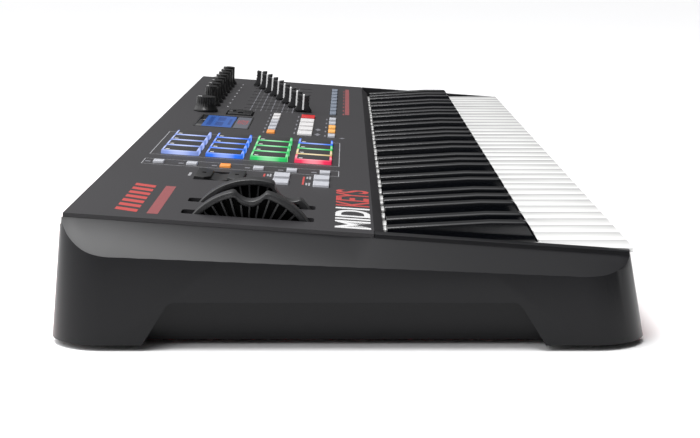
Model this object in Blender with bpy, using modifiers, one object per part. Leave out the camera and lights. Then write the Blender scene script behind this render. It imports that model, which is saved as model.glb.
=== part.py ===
"""61-key MIDI controller keyboard with wheels, drum pads, knobs and faders.

Frame: metres, +Z up, +X towards the treble end, +Y towards the rear.
The origin is under the middle of the instrument, on the surface it stands on.
"""

import math

import bmesh
import bpy
from mathutils import Matrix, Vector

# Overall sizes
KEY_PITCH = 0.0235
WHITE_KEYS = 36
KEYS_WIDTH = KEY_PITCH * WHITE_KEYS
CHEEK_WIDTH = 0.028
FOOT_HEIGHT = 0.003
GAP = 0.0003
WALL = 0.0025
LEFT = -KEYS_WIDTH / 2

# Control panel: its top surface is a plane that rises towards the rear
PANEL_MID_Z = 0.0593
PANEL_SLOPE = 0.0705
PANEL_TILT = math.atan(PANEL_SLOPE)
PANEL_THICK = 0.003
PANEL_REAR = 0.1495
PANEL_FRONT = -0.014
PANEL_HALF_WIDTH = KEYS_WIDTH / 2 + 0.009
LIP_DEPTH = 0.007

# End cheeks
CHEEK_BASE_Y = 0.1575
CHEEK_TOP_Y = 0.1512
CHEEK_FRONT_LEAN = 0.18
CREASE_MID_Z = 0.0445
CREASE_SLOPE = 0.0425
CHAMFER_DROP = 0.0022
RECESS_DEPTH = 0.014
RECESS_TOP = 0.0257

# Keys
WHITE_TOP = 0.0497
WHITE_DEPTH = 0.012
WHITE_FRONT = -0.1515
KEY_SLIT = 0.0011
NOTCH_FRONT = -0.1040
BLACK_WIDTH = 0.0108
BLACK_FRONT = -0.1030
BLACK_REAR = -0.0215
BLACK_RISE = 0.0107
STEM_END = 0.0115
PIVOT_Y = -0.002
PIVOT_Z = 0.031
SPINE_CLEARANCE = 0.0012
RAIL_TOP = 0.0420
OCTAVE_SHARPS = {1: 0.0215, 3: 0.0495, 6: 0.0910, 8: 0.1175, 10: 0.1440}
OCTAVE_WIDTH = 7 * KEY_PITCH

# Wheels
WHEEL_RADIUS = 0.0395
WHEEL_WIDTH = 0.012
WHEEL_Y = 0.0543
WHEEL_Z = 0.0382
WHEEL_NEAR_X = (LEFT + 0.015, LEFT + 0.056)
MOD_REST = math.radians(37)
AXLE_RADIUS = 0.0025

# Pads
PAD_SIZE = 0.025
PAD_PITCH = 0.030
PAD_RISE = 0.003
PAD_CENTRE = (LEFT + 0.3035, 0.0687)

# Channel strips: one knob, one fader and one switch each
STRIPS = 8
STRIP_FIRST_X = LEFT + 0.575
STRIP_PITCH = 0.0305
KNOB_Y = 0.119
FADER_FRONT_Y = 0.0392
FADER_STEP_Y = 0.0067
FADER_TRAVEL = 0.0469
DIAL_X = LEFT + 0.527
DIAL_Y = 0.1195

# Display
DISPLAY_CENTRE = (LEFT + 0.4585, 0.0988)
DISPLAY_SIZE = (0.083, 0.0425)


def clear_scene():
    for item in list(bpy.data.objects):
        bpy.data.objects.remove(item, do_unlink=True)


def make_collection(name):
    group = bpy.data.collections.new(name)
    bpy.context.scene.collection.children.link(group)
    return group


def material(name, colour, roughness, metallic=0.0):
    made = bpy.data.materials.new(name)
    made.use_nodes = True
    shader = made.node_tree.nodes["Principled BSDF"]
    shader.inputs["Base Color"].default_value = (*colour, 1.0)
    shader.inputs["Roughness"].default_value = roughness
    shader.inputs["Metallic"].default_value = metallic
    made.diffuse_color = (*colour, 1.0)
    return made


clear_scene()
PARTS = make_collection("midi_keyboard")
CUTTERS = make_collection("cutters")
BLACK = (0.045, 0.045, 0.048)


def make_object(name, mesh, look=None, parent=None, place=(0, 0, 0)):
    """A visible piece when it has a look, otherwise a cutter or a joining tool."""
    made = bpy.data.objects.new(name, mesh)
    made.location = place
    if look:
        mesh.materials.append(material(name, *look))
        PARTS.objects.link(made)
    else:
        CUTTERS.objects.link(made)
        made.hide_render = True
        made.display_type = "WIRE"
    made.parent = parent
    return made


def mesh_from(name, bm):
    mesh = bpy.data.meshes.new(name)
    bmesh.ops.recalc_face_normals(bm, faces=bm.faces)
    bm.to_mesh(mesh)
    bm.free()
    return mesh


def add_box(bm, low, high):
    """Axis-aligned block between two corners."""
    size = Vector(high) - Vector(low)
    centre = (Vector(high) + Vector(low)) / 2
    bmesh.ops.create_cube(bm, size=1.0, matrix=Matrix.Translation(centre) @ Matrix.Diagonal((*size, 1.0)))


def add_cylinder(bm, radius, centre, length, axis="Z", segments=16):
    turn = {"Z": Matrix(), "X": Matrix.Rotation(math.pi / 2, 4, "Y"), "Y": Matrix.Rotation(math.pi / 2, 4, "X")}
    bmesh.ops.create_cone(bm, cap_ends=True, segments=segments, radius1=radius, radius2=radius, depth=length,
                          matrix=Matrix.Translation(centre) @ turn[axis])


def boxes(name, corners, look=None, parent=None):
    bm = bmesh.new()
    for low, high in corners:
        add_box(bm, low, high)
    return make_object(name, mesh_from(name, bm), look, parent)


def cylinders(name, places, look=None, parent=None):
    bm = bmesh.new()
    for place in places:
        add_cylinder(bm, *place)
    return make_object(name, mesh_from(name, bm), look, parent)


def boolean(target, tool, operation):
    step = target.modifiers.new(tool.name, "BOOLEAN")
    step.object = tool
    step.operation = operation
    step.solver = "EXACT"


def cut(target, *tools):
    for tool in tools:
        boolean(target, tool, "DIFFERENCE")


def join(target, *tools):
    for tool in tools:
        boolean(target, tool, "UNION")


def soften(target, width, segments=1):
    step = target.modifiers.new("soft edges", "BEVEL")
    step.width = width
    step.segments = segments
    step.limit_method = "ANGLE"
    step.angle_limit = math.radians(40)


def extruded(name, outline, low, high, axis, look=None, parent=None):
    """A closed flat outline given a thickness along X or Z."""
    curve = bpy.data.curves.new(name, "CURVE")
    curve.dimensions = "2D"
    curve.fill_mode = "BOTH"
    curve.extrude = (high - low) / 2
    line = curve.splines.new("POLY")
    line.points.add(len(outline) - 1)
    for point, (u, v) in zip(line.points, outline):
        point.co = (u, v, 0, 1)
    line.use_cyclic_u = True
    shape = bpy.data.objects.new(name + " outline", curve)
    CUTTERS.objects.link(shape)
    bpy.context.view_layer.update()
    mesh = bpy.data.meshes.new_from_object(shape.evaluated_get(bpy.context.evaluated_depsgraph_get()))
    bpy.data.objects.remove(shape)
    bm = bmesh.new()
    bm.from_mesh(mesh)
    bmesh.ops.remove_doubles(bm, verts=bm.verts, dist=0.00001)
    middle = (low + high) / 2
    turned_x = Matrix(((0, 0, 1, middle), (1, 0, 0, 0), (0, 1, 0, 0), (0, 0, 0, 1)))
    bmesh.ops.transform(bm, verts=bm.verts, matrix=turned_x if axis == "X" else Matrix.Translation((0, 0, middle)))
    bpy.data.meshes.remove(mesh)
    return make_object(name, mesh_from(name, bm), look, parent)


def turned(name, profile, segments, look, parent, place):
    """Profile of (radius, height) from the top centre down, spun about Z."""
    bm = bmesh.new()
    points = [bm.verts.new((radius, 0, height)) for radius, height in profile]
    for one, two in zip(points, points[1:]):
        bm.edges.new((one, two))
    made = make_object(name, bpy.data.meshes.new(name), look, parent, place)
    bm.to_mesh(made.data)
    bm.free()
    step = made.modifiers.new("turn", "SCREW")
    step.steps = segments
    step.render_steps = segments
    step.use_merge_vertices = True
    step.merge_threshold = 0.00001
    return made


def arc(centre, radius, start, end, count):
    """Points on an arc, angles in degrees from +u towards +v."""
    steps = [math.radians(start + (end - start) * i / count) for i in range(count + 1)]
    return [(centre[0] + radius * math.cos(a), centre[1] + radius * math.sin(a)) for a in steps]


def panel_z(y):
    return PANEL_MID_Z + PANEL_SLOPE * y


def panel_frame():
    """Empty whose XY plane is the panel's top surface."""
    plane = bpy.data.objects.new("panel_plane", None)
    plane.location = (0, 0, PANEL_MID_Z)
    plane.rotation_euler = (PANEL_TILT, 0, 0)
    PARTS.objects.link(plane)
    return plane


PANEL = panel_frame()


def around(centre, size, low, high):
    """Corners of an upright block over a rectangle on the panel."""
    (x, y), (w, d) = centre, size
    return ((x - w / 2, y - d / 2, low), (x + w / 2, y + d / 2, high))


# --- Button groups: (centre, size) of each cap on the panel ---

def row(first, step, count, size):
    return [((first[0] + step[0] * i, first[1] + step[1] * i), size) for i in range(count)]


BUTTONS = {
    "pad_bank_buttons": row((LEFT + 0.204, 0.1229), (0, -0.0216), 6, (0.010, 0.0068)),
    "repeat_buttons": row((LEFT + 0.178, 0.0418), (0, -0.0251), 2, (0.017, 0.0100))
    + row((LEFT + 0.151, 0.0418), (0, -0.0251), 2, (0.017, 0.0100)),
    "cursor_buttons": row((LEFT + 0.528, 0.0905), (0, 0), 1, (0.034, 0.0220)),
    "function_buttons": row((LEFT + 0.408, 0.0595), (0.0244, 0), 6, (0.013, 0.0060)),
    "transport_buttons": row((LEFT + 0.414, 0.0335), (0.0290, 0), 5, (0.020, 0.0112)),
    "bank_buttons": row((LEFT + 0.409, 0.0128), (0.0290, 0), 5, (0.014, 0.0055)),
    "fader_switches": row((STRIP_FIRST_X, 0.0130), (STRIP_PITCH, 0), STRIPS, (0.019, 0.0055)),
}
BUTTON_RISE = {"cursor_buttons": 0.0025}
BUTTON_LOOKS = {
    "cursor_buttons": (BLACK, 0.4),
    "fader_switches": ((0.35, 0.35, 0.37), 0.45),
}
BUTTON_LOOK = ((0.55, 0.55, 0.57), 0.45)
ROCKER_CENTRE = (LEFT + 0.1595, 0.0795)
ROCKER_SIZE = (0.037, 0.030)


def pad_centres():
    offsets = [(i - 1.5) * PAD_PITCH for i in range(4)]
    return [(PAD_CENTRE[0] + dx, PAD_CENTRE[1] + dy) for dx in offsets for dy in offsets]


def strip_x(i):
    return STRIP_FIRST_X + STRIP_PITCH * i


def fader_rest_y(i):
    return FADER_FRONT_Y + FADER_STEP_Y * i


# --- Case ---

def panel_cutter():
    """Every opening in the panel, as upright blocks and round plugs."""
    low, high = -0.012, 0.002
    holes = [around(centre, (PAD_SIZE + 0.0010, PAD_SIZE + 0.0010), low, high) for centre in pad_centres()]
    for caps in BUTTONS.values():
        holes += [around(centre, (w + 0.0008, d + 0.0008), low, high) for centre, (w, d) in caps]
    holes.append(around(ROCKER_CENTRE, (ROCKER_SIZE[0] + 0.001, ROCKER_SIZE[1] + 0.001), low, high))
    holes.append(around(DISPLAY_CENTRE, (DISPLAY_SIZE[0] + 2 * GAP, DISPLAY_SIZE[1] + 2 * GAP), low, high))
    slot_y = FADER_FRONT_Y + FADER_TRAVEL / 2
    holes += [around((strip_x(i), slot_y), (0.0026, FADER_TRAVEL + 0.008), low, high) for i in range(STRIPS)]
    for near in WHEEL_NEAR_X:
        holes.append(around((near + WHEEL_WIDTH / 2, WHEEL_Y), (WHEEL_WIDTH + 0.0016, 0.072), low, high))
    return boxes("panel openings", holes, parent=PANEL)


def top_panel():
    foot = PANEL_FRONT - 0.006
    outline = [(PANEL_REAR, 0), (PANEL_FRONT, 0), (foot, -0.005), (foot, -LIP_DEPTH), (foot + 0.0025, -LIP_DEPTH),
               (foot + 0.0025, -0.0058), (PANEL_FRONT + 0.0005, -PANEL_THICK), (PANEL_REAR, -PANEL_THICK)]
    panel = extruded("top_panel", outline, -PANEL_HALF_WIDTH, PANEL_HALF_WIDTH, "X",
                     ((0.066, 0.064, 0.067), 0.5), PANEL)
    shafts = [(0.0042, (strip_x(i), KNOB_Y, 0), 0.02) for i in range(STRIPS)]
    shafts.append((0.0042, (DIAL_X, DIAL_Y, 0), 0.02))
    inner = KEYS_WIDTH / 2 - GAP
    ends = [((inner, foot - 0.001, -0.010), (0.45, PANEL_FRONT + 0.0002, 0.002)),
            ((-0.45, foot - 0.001, -0.010), (-inner, PANEL_FRONT + 0.0002, 0.002))]
    cut(panel, panel_cutter(), cylinders("shaft holes", shafts, parent=PANEL), boxes("strip ends", ends, parent=PANEL))
    return panel


def bottom_case():
    """Red tray: a floor, the front wall under the keys and a short rear step."""
    floor, top, front, back = FOOT_HEIGHT, 0.0358, -0.1568, 0.1528
    outline = [(front, floor), (back, floor), (back, floor + 0.010), (back - WALL, floor + 0.010),
               (back - WALL, floor + WALL), (front + 0.0030, floor + WALL),
               (front + 0.0055, top), (front + 0.0036, top)]
    extruded("bottom_case", outline, -KEYS_WIDTH / 2 + GAP, KEYS_WIDTH / 2 - GAP, "X", ((0.42, 0.03, 0.03), 0.45))


def rear_sockets():
    """Centre x, shape and size of each socket in the rear wall."""
    return {
        "dc": (0.330, "round", 0.0042),
        "usb": (0.290, "square", 0.0120),
        "midi_out": (0.250, "round", 0.0076),
        "midi_in": (0.222, "round", 0.0076),
        "sustain": (0.180, "round", 0.0042),
        "foot_switch": (0.155, "round", 0.0042),
        "expression": (0.130, "round", 0.0042),
    }


SOCKET_Z = 0.030
SWITCH_X = 0.370
SWITCH_TILT = math.radians(6)


def rear_panel():
    inset = CHEEK_BASE_Y - 0.002
    top = panel_z(PANEL_REAR) - PANEL_THICK - 0.0006
    outline = [(inset, FOOT_HEIGHT + 0.0005), (PANEL_REAR + 0.0005, top), (PANEL_REAR - 0.002, top),
               (inset - WALL + 0.0002, FOOT_HEIGHT + 0.0105), (inset - 0.0020, FOOT_HEIGHT + 0.0005)]
    wall = extruded("rear_panel", outline, -KEYS_WIDTH / 2 + GAP, KEYS_WIDTH / 2 - GAP, "X", ((0.42, 0.03, 0.03), 0.45))
    holes = []
    squares = [((SWITCH_X - 0.0068, 0.14, SOCKET_Z - 0.0098), (SWITCH_X + 0.0068, 0.17, SOCKET_Z + 0.0098))]
    for x, shape, size in rear_sockets().values():
        if shape == "round":
            holes.append((size + GAP, (x, 0.155, SOCKET_Z), 0.03, "Y"))
        else:
            squares.append(((x - size / 2 - GAP, 0.14, SOCKET_Z - 0.0060), (x + size / 2 + GAP, 0.17, SOCKET_Z + 0.0060)))
    cut(wall, cylinders("round sockets", holes), boxes("square sockets", squares))


def cheek_outline(inner, side_y):
    """Plan of one cheek: straight inner side, outer corners rounded as ellipse quarters."""
    width = CHEEK_WIDTH
    corner = 0.030
    rear = [(inner - width * math.sin(math.radians(a)), side_y - corner + corner * math.cos(math.radians(a)))
            for a in range(0, 91, 15)]
    front = [(x, -y) for x, y in reversed(rear)]
    return rear + front


def cheek_block(side):
    """Drafted block between the plan at the base and the narrower plan at the top."""
    bm = bmesh.new()
    high = 0.080
    lean = (CHEEK_BASE_Y - CHEEK_TOP_Y) / (panel_z(CHEEK_TOP_Y) - FOOT_HEIGHT)
    base = cheek_outline(LEFT - GAP, CHEEK_BASE_Y)
    rear_y = CHEEK_BASE_Y - lean * (high - FOOT_HEIGHT)
    front_share = (CHEEK_BASE_Y - CHEEK_FRONT_LEAN * (high - FOOT_HEIGHT)) / rear_y
    top = [(x, y * front_share if y < 0 else y) for x, y in cheek_outline(LEFT - GAP, rear_y)]
    rings = [[bm.verts.new((x, y, z)) for x, y in ring] for ring, z in ((base, FOOT_HEIGHT), (top, high))]
    bm.faces.new(rings[0])
    bm.faces.new(rings[1])
    count = len(base)
    for i in range(count):
        bm.faces.new((rings[0][i], rings[0][(i + 1) % count], rings[1][(i + 1) % count], rings[1][i]))
    return make_object(side + "_end_cheek", mesh_from(side, bm), ((0.042, 0.042, 0.045), 0.42))


def chamfer_cutter():
    """Block over the sloping shoulder, from the crease up to the panel's edge."""
    bm = bmesh.new()
    crease_x, edge_x, high = LEFT - CHEEK_WIDTH, -PANEL_HALF_WIDTH - GAP, 0.10
    reach = 0.010
    steps = 12
    rings = []
    for i in range(steps + 1):
        y = -0.17 + 0.34 * i / steps
        crease = CREASE_MID_Z + CREASE_SLOPE * y
        edge = panel_z(y) - CHAMFER_DROP
        rise = (edge - crease) / (edge_x - crease_x)
        section = ((crease_x - reach, crease - rise * reach), (edge_x, edge), (edge_x, high), (crease_x - reach, high))
        rings.append([bm.verts.new((x, y, z)) for x, z in section])
    for one, two in zip(rings, rings[1:]):
        for k in range(4):
            bm.faces.new((one[k], one[(k + 1) % 4], two[(k + 1) % 4], two[k]))
    bm.faces.new(rings[0])
    bm.faces.new(rings[-1])
    return make_object("shoulder", mesh_from("shoulder", bm))


def recess_cutter():
    """Trapezoid hand recess in the lower outer face, round at its top corners."""
    base, top, low = 0.1087, 0.0955, FOOT_HEIGHT - 0.003
    round_off = arc((top - 0.006, RECESS_TOP - 0.006), 0.006, 25, 90, 4)
    half = [(base, low)] + round_off
    outline = half + [(-y + 0.004, z) for y, z in reversed(half)]
    return extruded("hand recess", outline, LEFT - 0.05, LEFT - RECESS_DEPTH, "X")


def left_cheek_cutters():
    """Shoulder, hand recess, flush top beside the keys, seat under the panel, and the hollow behind."""
    above = boxes("above top", [((LEFT - 0.06, -0.2, 0), (LEFT + 0.01, 0.2, 0.05))], parent=PANEL)
    low = (-PANEL_HALF_WIDTH - GAP, PANEL_FRONT - 0.0001, -LIP_DEPTH - GAP)
    seat = boxes("panel seat", [(low, (LEFT + 0.01, 0.2, 0.01))], parent=PANEL)
    hollow = boxes("hollow", [((LEFT - RECESS_DEPTH + WALL, -0.138, FOOT_HEIGHT + 0.004), (LEFT + 0.01, 0.138, 0.0400)),
                              ((LEFT - RECESS_DEPTH + WALL, -0.010, 0.0402), (LEFT + 0.01, 0.138, 0.0480))])
    return above, seat, hollow


def end_cheeks():
    left = cheek_block("left")
    above, seat, hollow = left_cheek_cutters()
    cut(left, above, chamfer_cutter(), recess_cutter(), seat, hollow)
    bpy.context.view_layer.update()
    shape = left.evaluated_get(bpy.context.evaluated_depsgraph_get())
    bm = bmesh.new()
    bm.from_mesh(shape.to_mesh())
    bmesh.ops.transform(bm, verts=bm.verts, matrix=Matrix.Diagonal((-1, 1, 1, 1)))
    bmesh.ops.reverse_faces(bm, faces=bm.faces)
    make_object("right_end_cheek", mesh_from("right", bm), ((0.042, 0.042, 0.045), 0.42))


def feet():
    for name, y in (("front_foot_strip", -0.120), ("rear_foot_strip", 0.120)):
        strip = boxes(name, [((-0.36, y - 0.008, 0), (0.36, y + 0.008, FOOT_HEIGHT - GAP))], ((0.02, 0.02, 0.02), 0.8))
        soften(strip, 0.0006)


# --- Keybed ---

def keybed_chassis():
    """Steel tray with a front guide rail and a rear bearing rail."""
    floor = FOOT_HEIGHT + WALL + GAP
    outline = [(-0.149, floor), (0.0140, floor), (0.0140, RAIL_TOP), (0.0125, RAIL_TOP), (0.0125, floor + 0.0015),
               (-0.0900, floor + 0.0015), (-0.0900, 0.0205), (-0.0945, 0.0205), (-0.0945, floor + 0.0015),
               (-0.149, floor + 0.0015)]
    extruded("keybed_chassis", outline, LEFT + 0.002, -LEFT - 0.002, "X", ((0.55, 0.56, 0.58), 0.35, 1.0))


def key_contact_board():
    low = FOOT_HEIGHT + WALL + GAP + 0.0015 + GAP
    board = boxes("key_contact_board", [((LEFT + 0.006, -0.060, low), (-LEFT - 0.006, -0.030, low + 0.0016))],
                  ((0.03, 0.16, 0.06), 0.5))
    strip = [((LEFT + 0.010, -0.052, low + 0.001), (-LEFT - 0.010, -0.038, low + 0.0060))]
    join(board, boxes("contact strip", strip))


def white_stem(octave_left, note):
    """X range of a white key behind its front, between the sharps beside it."""
    whites = (0, 2, 4, 5, 7, 9, 11)
    slot = whites.index(note)
    left = octave_left + slot * KEY_PITCH + KEY_SLIT / 2
    right = octave_left + (slot + 1) * KEY_PITCH - KEY_SLIT / 2
    head = (left, right)
    clear = BLACK_WIDTH / 2 + 0.0010
    if note - 1 in OCTAVE_SHARPS:
        left = octave_left + OCTAVE_SHARPS[note - 1] + clear
    if note + 1 in OCTAVE_SHARPS:
        right = octave_left + OCTAVE_SHARPS[note + 1] - clear
    return head, (left, right)


def spine(bars_y, stems, name):
    """Cross bar under the stems with a short leg up into each one."""
    base = WHITE_TOP - WHITE_DEPTH
    low, high = bars_y
    legs = [((a + 0.001, low, base - 0.004), (b - 0.001, high, base + 0.003)) for a, b in stems]
    bar = [((stems[0][0] + 0.0005, low + 0.0003, base - SPINE_CLEARANCE - 0.005),
            (stems[-1][1] - 0.0005, high - 0.0003, base - SPINE_CLEARANCE))]
    return boxes(name + " legs", legs), boxes(name + " bar", bar)


def white_comb(name, octave_left, notes, bars_y):
    ranges = [white_stem(octave_left, note) for note in notes]
    heads, stems = [r[0] for r in ranges], [r[1] for r in ranges]
    base = WHITE_TOP - WHITE_DEPTH
    comb = boxes(name, [((a, WHITE_FRONT, WHITE_TOP - 0.0030), (b, NOTCH_FRONT, WHITE_TOP)) for a, b in heads],
                 ((0.85, 0.85, 0.84), 0.18))
    bodies = [((a + 0.0008, WHITE_FRONT + 0.003, base), (b - 0.0008, NOTCH_FRONT - 0.001, WHITE_TOP - 0.0015))
              for a, b in heads]
    shafts = [((a, NOTCH_FRONT - 0.004, base + 0.0006), (b, STEM_END, WHITE_TOP)) for a, b in stems]
    join(comb, boxes(name + " bodies", bodies), boxes(name + " stems", shafts))
    if len(notes) > 1:
        join(comb, *spine(bars_y, stems, name))
    return set_pivot(comb)


def black_cap(bm, x):
    """Sharp with a raked front, a crowned top and drafted sides."""
    foot = WHITE_TOP - WHITE_DEPTH + 0.0006
    top = WHITE_TOP + BLACK_RISE
    half = BLACK_WIDTH / 2
    sections = ((BLACK_FRONT, half, half - 0.0004, WHITE_TOP + 0.0005),
                (BLACK_FRONT + 0.0055, half, half - 0.0010, top - 0.0018),
                (BLACK_FRONT + 0.0090, half, half - 0.0012, top - 0.0006),
                (BLACK_FRONT + 0.0240, half, half - 0.0012, top),
                (BLACK_REAR, half, half - 0.0012, top - 0.0030))
    rings = []
    for y, wide, narrow, z in sections:
        rings.append([bm.verts.new(p) for p in ((x - wide, y, foot), (x + wide, y, foot),
                                                (x + narrow, y, z), (x - narrow, y, z))])
    for one, two in zip(rings, rings[1:]):
        for k in range(4):
            bm.faces.new((one[k], one[(k + 1) % 4], two[(k + 1) % 4], two[k]))
    bm.faces.new(rings[0])
    bm.faces.new(rings[-1])


def sharps_comb(name, octave_left, bars_y):
    bm = bmesh.new()
    centres = [octave_left + offset for offset in OCTAVE_SHARPS.values()]
    for x in centres:
        black_cap(bm, x)
    comb = make_object(name, mesh_from(name, bm), ((0.008, 0.008, 0.009), 0.15))
    half = BLACK_WIDTH / 2 - 0.0006
    stems = [(x - half, x + half) for x in centres]
    base = WHITE_TOP - WHITE_DEPTH + 0.0012
    shafts = [((a, BLACK_REAR - 0.006, base), (b, STEM_END, WHITE_TOP - 0.0015)) for a, b in stems]
    join(comb, boxes(name + " stems", shafts), *spine(bars_y, stems, name))
    return set_pivot(comb)


def set_pivot(piece):
    """Move the origin onto the keys' hinge line without moving the shape."""
    pivot = Vector((0, PIVOT_Y, PIVOT_Z))
    for step in piece.modifiers:
        step.object.location = -pivot
        step.object.parent = piece
    piece.data.transform(Matrix.Translation(-pivot))
    piece.location = pivot
    return piece


def keys():
    for octave in range(5):
        left = LEFT + octave * OCTAVE_WIDTH
        number = str(octave + 1)
        white_comb("keys_ceg" + "b_" + number, left, (0, 4, 7, 11), (0.0050, 0.0110))
        white_comb("keys_dfa_" + number, left, (2, 5, 9), (-0.0050, 0.0010))
        sharps_comb("keys_sharp_" + number, left, (-0.0150, -0.0090))
    top_c = white_comb("key_top_c", LEFT + 5 * OCTAVE_WIDTH, (0,), None)
    return top_c


# --- Wheels ---

def wheel_outline():
    """Half disc with a thumb notch at the top and a hub at the pivot; (y, z) about the pivot."""
    notch = math.degrees(math.asin(0.0086 / WHEEL_RADIUS))
    rear = arc((0, 0), WHEEL_RADIUS, -2, 90 - notch, 14)
    front = [(-y, z) for y, z in reversed(rear)]
    bowl = [(0.0052, 0.0354), (0.0026, 0.0341), (0, 0.0337), (-0.0026, 0.0341), (-0.0052, 0.0354)]
    hub = arc((0, 0), 0.008, 190, 350, 6)
    return rear + bowl + front + hub


def wheel(name, near, rest):
    made = extruded(name, wheel_outline(), -WHEEL_WIDTH / 2, WHEEL_WIDTH / 2, "X", ((0.05, 0.05, 0.053), 0.45))
    bore = cylinders(name + " bore", [(AXLE_RADIUS + 0.0004, (0, 0, 0), 0.05, "X", 12)])
    bore.parent = made
    cut(made, bore)
    made.location = (near + WHEEL_WIDTH / 2, WHEEL_Y, WHEEL_Z)
    made.rotation_euler = (rest, 0, 0)


def wheel_bracket():
    floor = FOOT_HEIGHT + WALL + GAP
    near, far = WHEEL_NEAR_X
    wall_x = (near - 0.0045, far - 0.006, far + WHEEL_WIDTH + 0.0025)
    ends = (wall_x[0], wall_x[-1] + 0.002)
    base = boxes("wheel_bracket", [((ends[0], 0.0525, floor), (ends[1], 0.0900, floor + 0.002))], ((0.3, 0.31, 0.32), 0.4, 0.8))
    walls = [((x + 0.0002, 0.0530, floor + 0.0010), (x + 0.0018, 0.0596, WHEEL_Z + 0.006)) for x in wall_x]
    axle = cylinders("wheel axle", [(AXLE_RADIUS, ((ends[0] + ends[1]) / 2, WHEEL_Y, WHEEL_Z), ends[1] - ends[0] + 0.002, "X", 12)])
    join(base, boxes("bracket walls", walls), axle)


# --- Panel controls ---

def drum_pads():
    sheet = boxes("drum_pad_sheet", [around(PAD_CENTRE, (0.124, 0.124), -0.0065, -0.0045)], ((0.06, 0.06, 0.07), 0.6), PANEL)
    caps = boxes("pad caps", [around(c, (PAD_SIZE, PAD_SIZE), -0.0055, PAD_RISE) for c in pad_centres()], parent=PANEL)
    join(sheet, caps)
    boxes("pad_sensor_board", [around(PAD_CENTRE, (0.124, 0.112), -0.0096, -0.0082)], ((0.03, 0.16, 0.06), 0.5), PANEL)


def button_group(name, caps):
    """Caps on one carrier web, so that the group presses as one moulding."""
    xs = [x for (x, y), size in caps]
    ys = [y for (x, y), size in caps]
    w, d = caps[0][1]
    web_low = (min(xs) - w / 2 - 0.001, min(ys) - d / 2 - 0.001, -0.0060)
    web_high = (max(xs) + w / 2 + 0.001, max(ys) + d / 2 + 0.001, -0.0048)
    rise = BUTTON_RISE.get(name, 0.0015)
    group = boxes(name, [(web_low, web_high)], BUTTON_LOOKS.get(name, BUTTON_LOOK), PANEL)
    join(group, boxes(name + " caps", [around(c, s, -0.0054, rise) for c, s in caps], parent=PANEL))


def octave_rocker():
    """Two raised ends joined by a lower concave bridge."""
    w, d = ROCKER_SIZE
    half = [(d / 2, -0.0040), (d / 2, 0.0008), (d / 2 - 0.002, 0.0022), (d / 2 - 0.008, 0.0018), (0.004, -0.0008)]
    outline = half + [(-y, z) for y, z in reversed(half)]
    rocker = extruded("octave_rocker", outline, -w / 2, w / 2, "X", (BLACK, 0.35), PANEL)
    rocker.location = (ROCKER_CENTRE[0], ROCKER_CENTRE[1], 0)


def knob(name, x, y, top, skirt, height):
    profile = [(0, height), (top - 0.0005, height), (top, height - 0.0005), (top + 0.0003, 0.0045), (skirt, 0.0018),
               (skirt, 0.0005), (0.0034, 0.0005), (0.0034, height - 0.003), (0, height - 0.003)]
    turned(name, profile, 16, ((0.03, 0.03, 0.032), 0.35), PANEL, (x, y, 0))


def knobs():
    for i in range(STRIPS):
        knob("knob_" + str(i + 1), strip_x(i), KNOB_Y, 0.0056, 0.0084, 0.0170)
    knob("value_dial", DIAL_X, DIAL_Y, 0.0080, 0.0102, 0.0125)


def faders():
    """Cap with a flared base on a thin stem through its slot; each one rests at its own height."""
    side = [(0.0075, 0.0008), (0.0075, 0.0022), (0.0052, 0.0050), (0.0049, 0.0152)]
    outline = side + [(-y, z) for y, z in reversed(side)]
    for i in range(STRIPS):
        name = "fader_cap_" + str(i + 1)
        cap = extruded(name, outline, -0.0048, 0.0048, "X", ((0.03, 0.03, 0.032), 0.4), PANEL)
        stem = boxes(name + " stem", [((-0.0009, -0.003, -0.0090), (0.0009, 0.003, 0.002))])
        stem.parent = cap
        join(cap, stem)
        cap.location = (strip_x(i), fader_rest_y(i), 0)


def control_board():
    """Board under the strips with the pots and their shafts."""
    low, high = -0.0180, -0.0164
    (x0, x1) = (LEFT + 0.395, LEFT + 0.815)
    board = boxes("control_board", [((x0, 0.042, low), (x1, 0.140, high))], ((0.03, 0.16, 0.06), 0.5), PANEL)
    places = [(strip_x(i), KNOB_Y) for i in range(STRIPS)] + [(DIAL_X, DIAL_Y)]
    pots = boxes("pot bodies", [around(p, (0.011, 0.012), -0.0170, -0.0100) for p in places], parent=PANEL)
    shafts = cylinders("pot shafts", [(0.0030, (x, y, -0.0010), 0.0200, "Z", 12) for x, y in places], parent=PANEL)
    slides = [around((strip_x(i), 0.0690), (0.009, 0.052), -0.0170, -0.0110) for i in range(STRIPS)]
    join(board, pots, shafts, boxes("slide pots", slides, parent=PANEL))


def display():
    boxes("display_window", [around(DISPLAY_CENTRE, DISPLAY_SIZE, -0.0030, -0.0002)], ((0.01, 0.01, 0.012), 0.1), PANEL)
    size = (DISPLAY_SIZE[0] - 0.004, DISPLAY_SIZE[1] - 0.002)
    boxes("display_module", [around(DISPLAY_CENTRE, size, -0.0130, -0.0034)], ((0.2, 0.2, 0.22), 0.5, 0.5), PANEL)


# --- Rear connections ---

def connector_board():
    """Upright board behind the rear wall with a hollow body for each socket."""
    front = 0.1500
    board = boxes("connector_board", [((0.115, 0.1360, 0.0130), (0.345, 0.1376, 0.0460))], ((0.03, 0.16, 0.06), 0.5))
    round_bodies, round_bores, blocks, bores = [], [], [], []
    for x, shape, size in rear_sockets().values():
        if shape == "round":
            round_bodies.append((size, (x, (front + 0.137) / 2, SOCKET_Z), front - 0.137, "Y"))
            round_bores.append((size - 0.0009, (x, front, SOCKET_Z), 0.016, "Y"))
        else:
            blocks.append(((x - size / 2, 0.137, SOCKET_Z - 0.0056), (x + size / 2, front, SOCKET_Z + 0.0056)))
            bores.append(((x - size / 2 + 0.001, front - 0.009, SOCKET_Z - 0.0046),
                          (x + size / 2 - 0.001, front + 0.01, SOCKET_Z + 0.0046)))
    join(board, cylinders("jack bodies", round_bodies), boxes("port bodies", blocks))
    cut(board, cylinders("jack bores", round_bores), boxes("port bores", bores))


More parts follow.
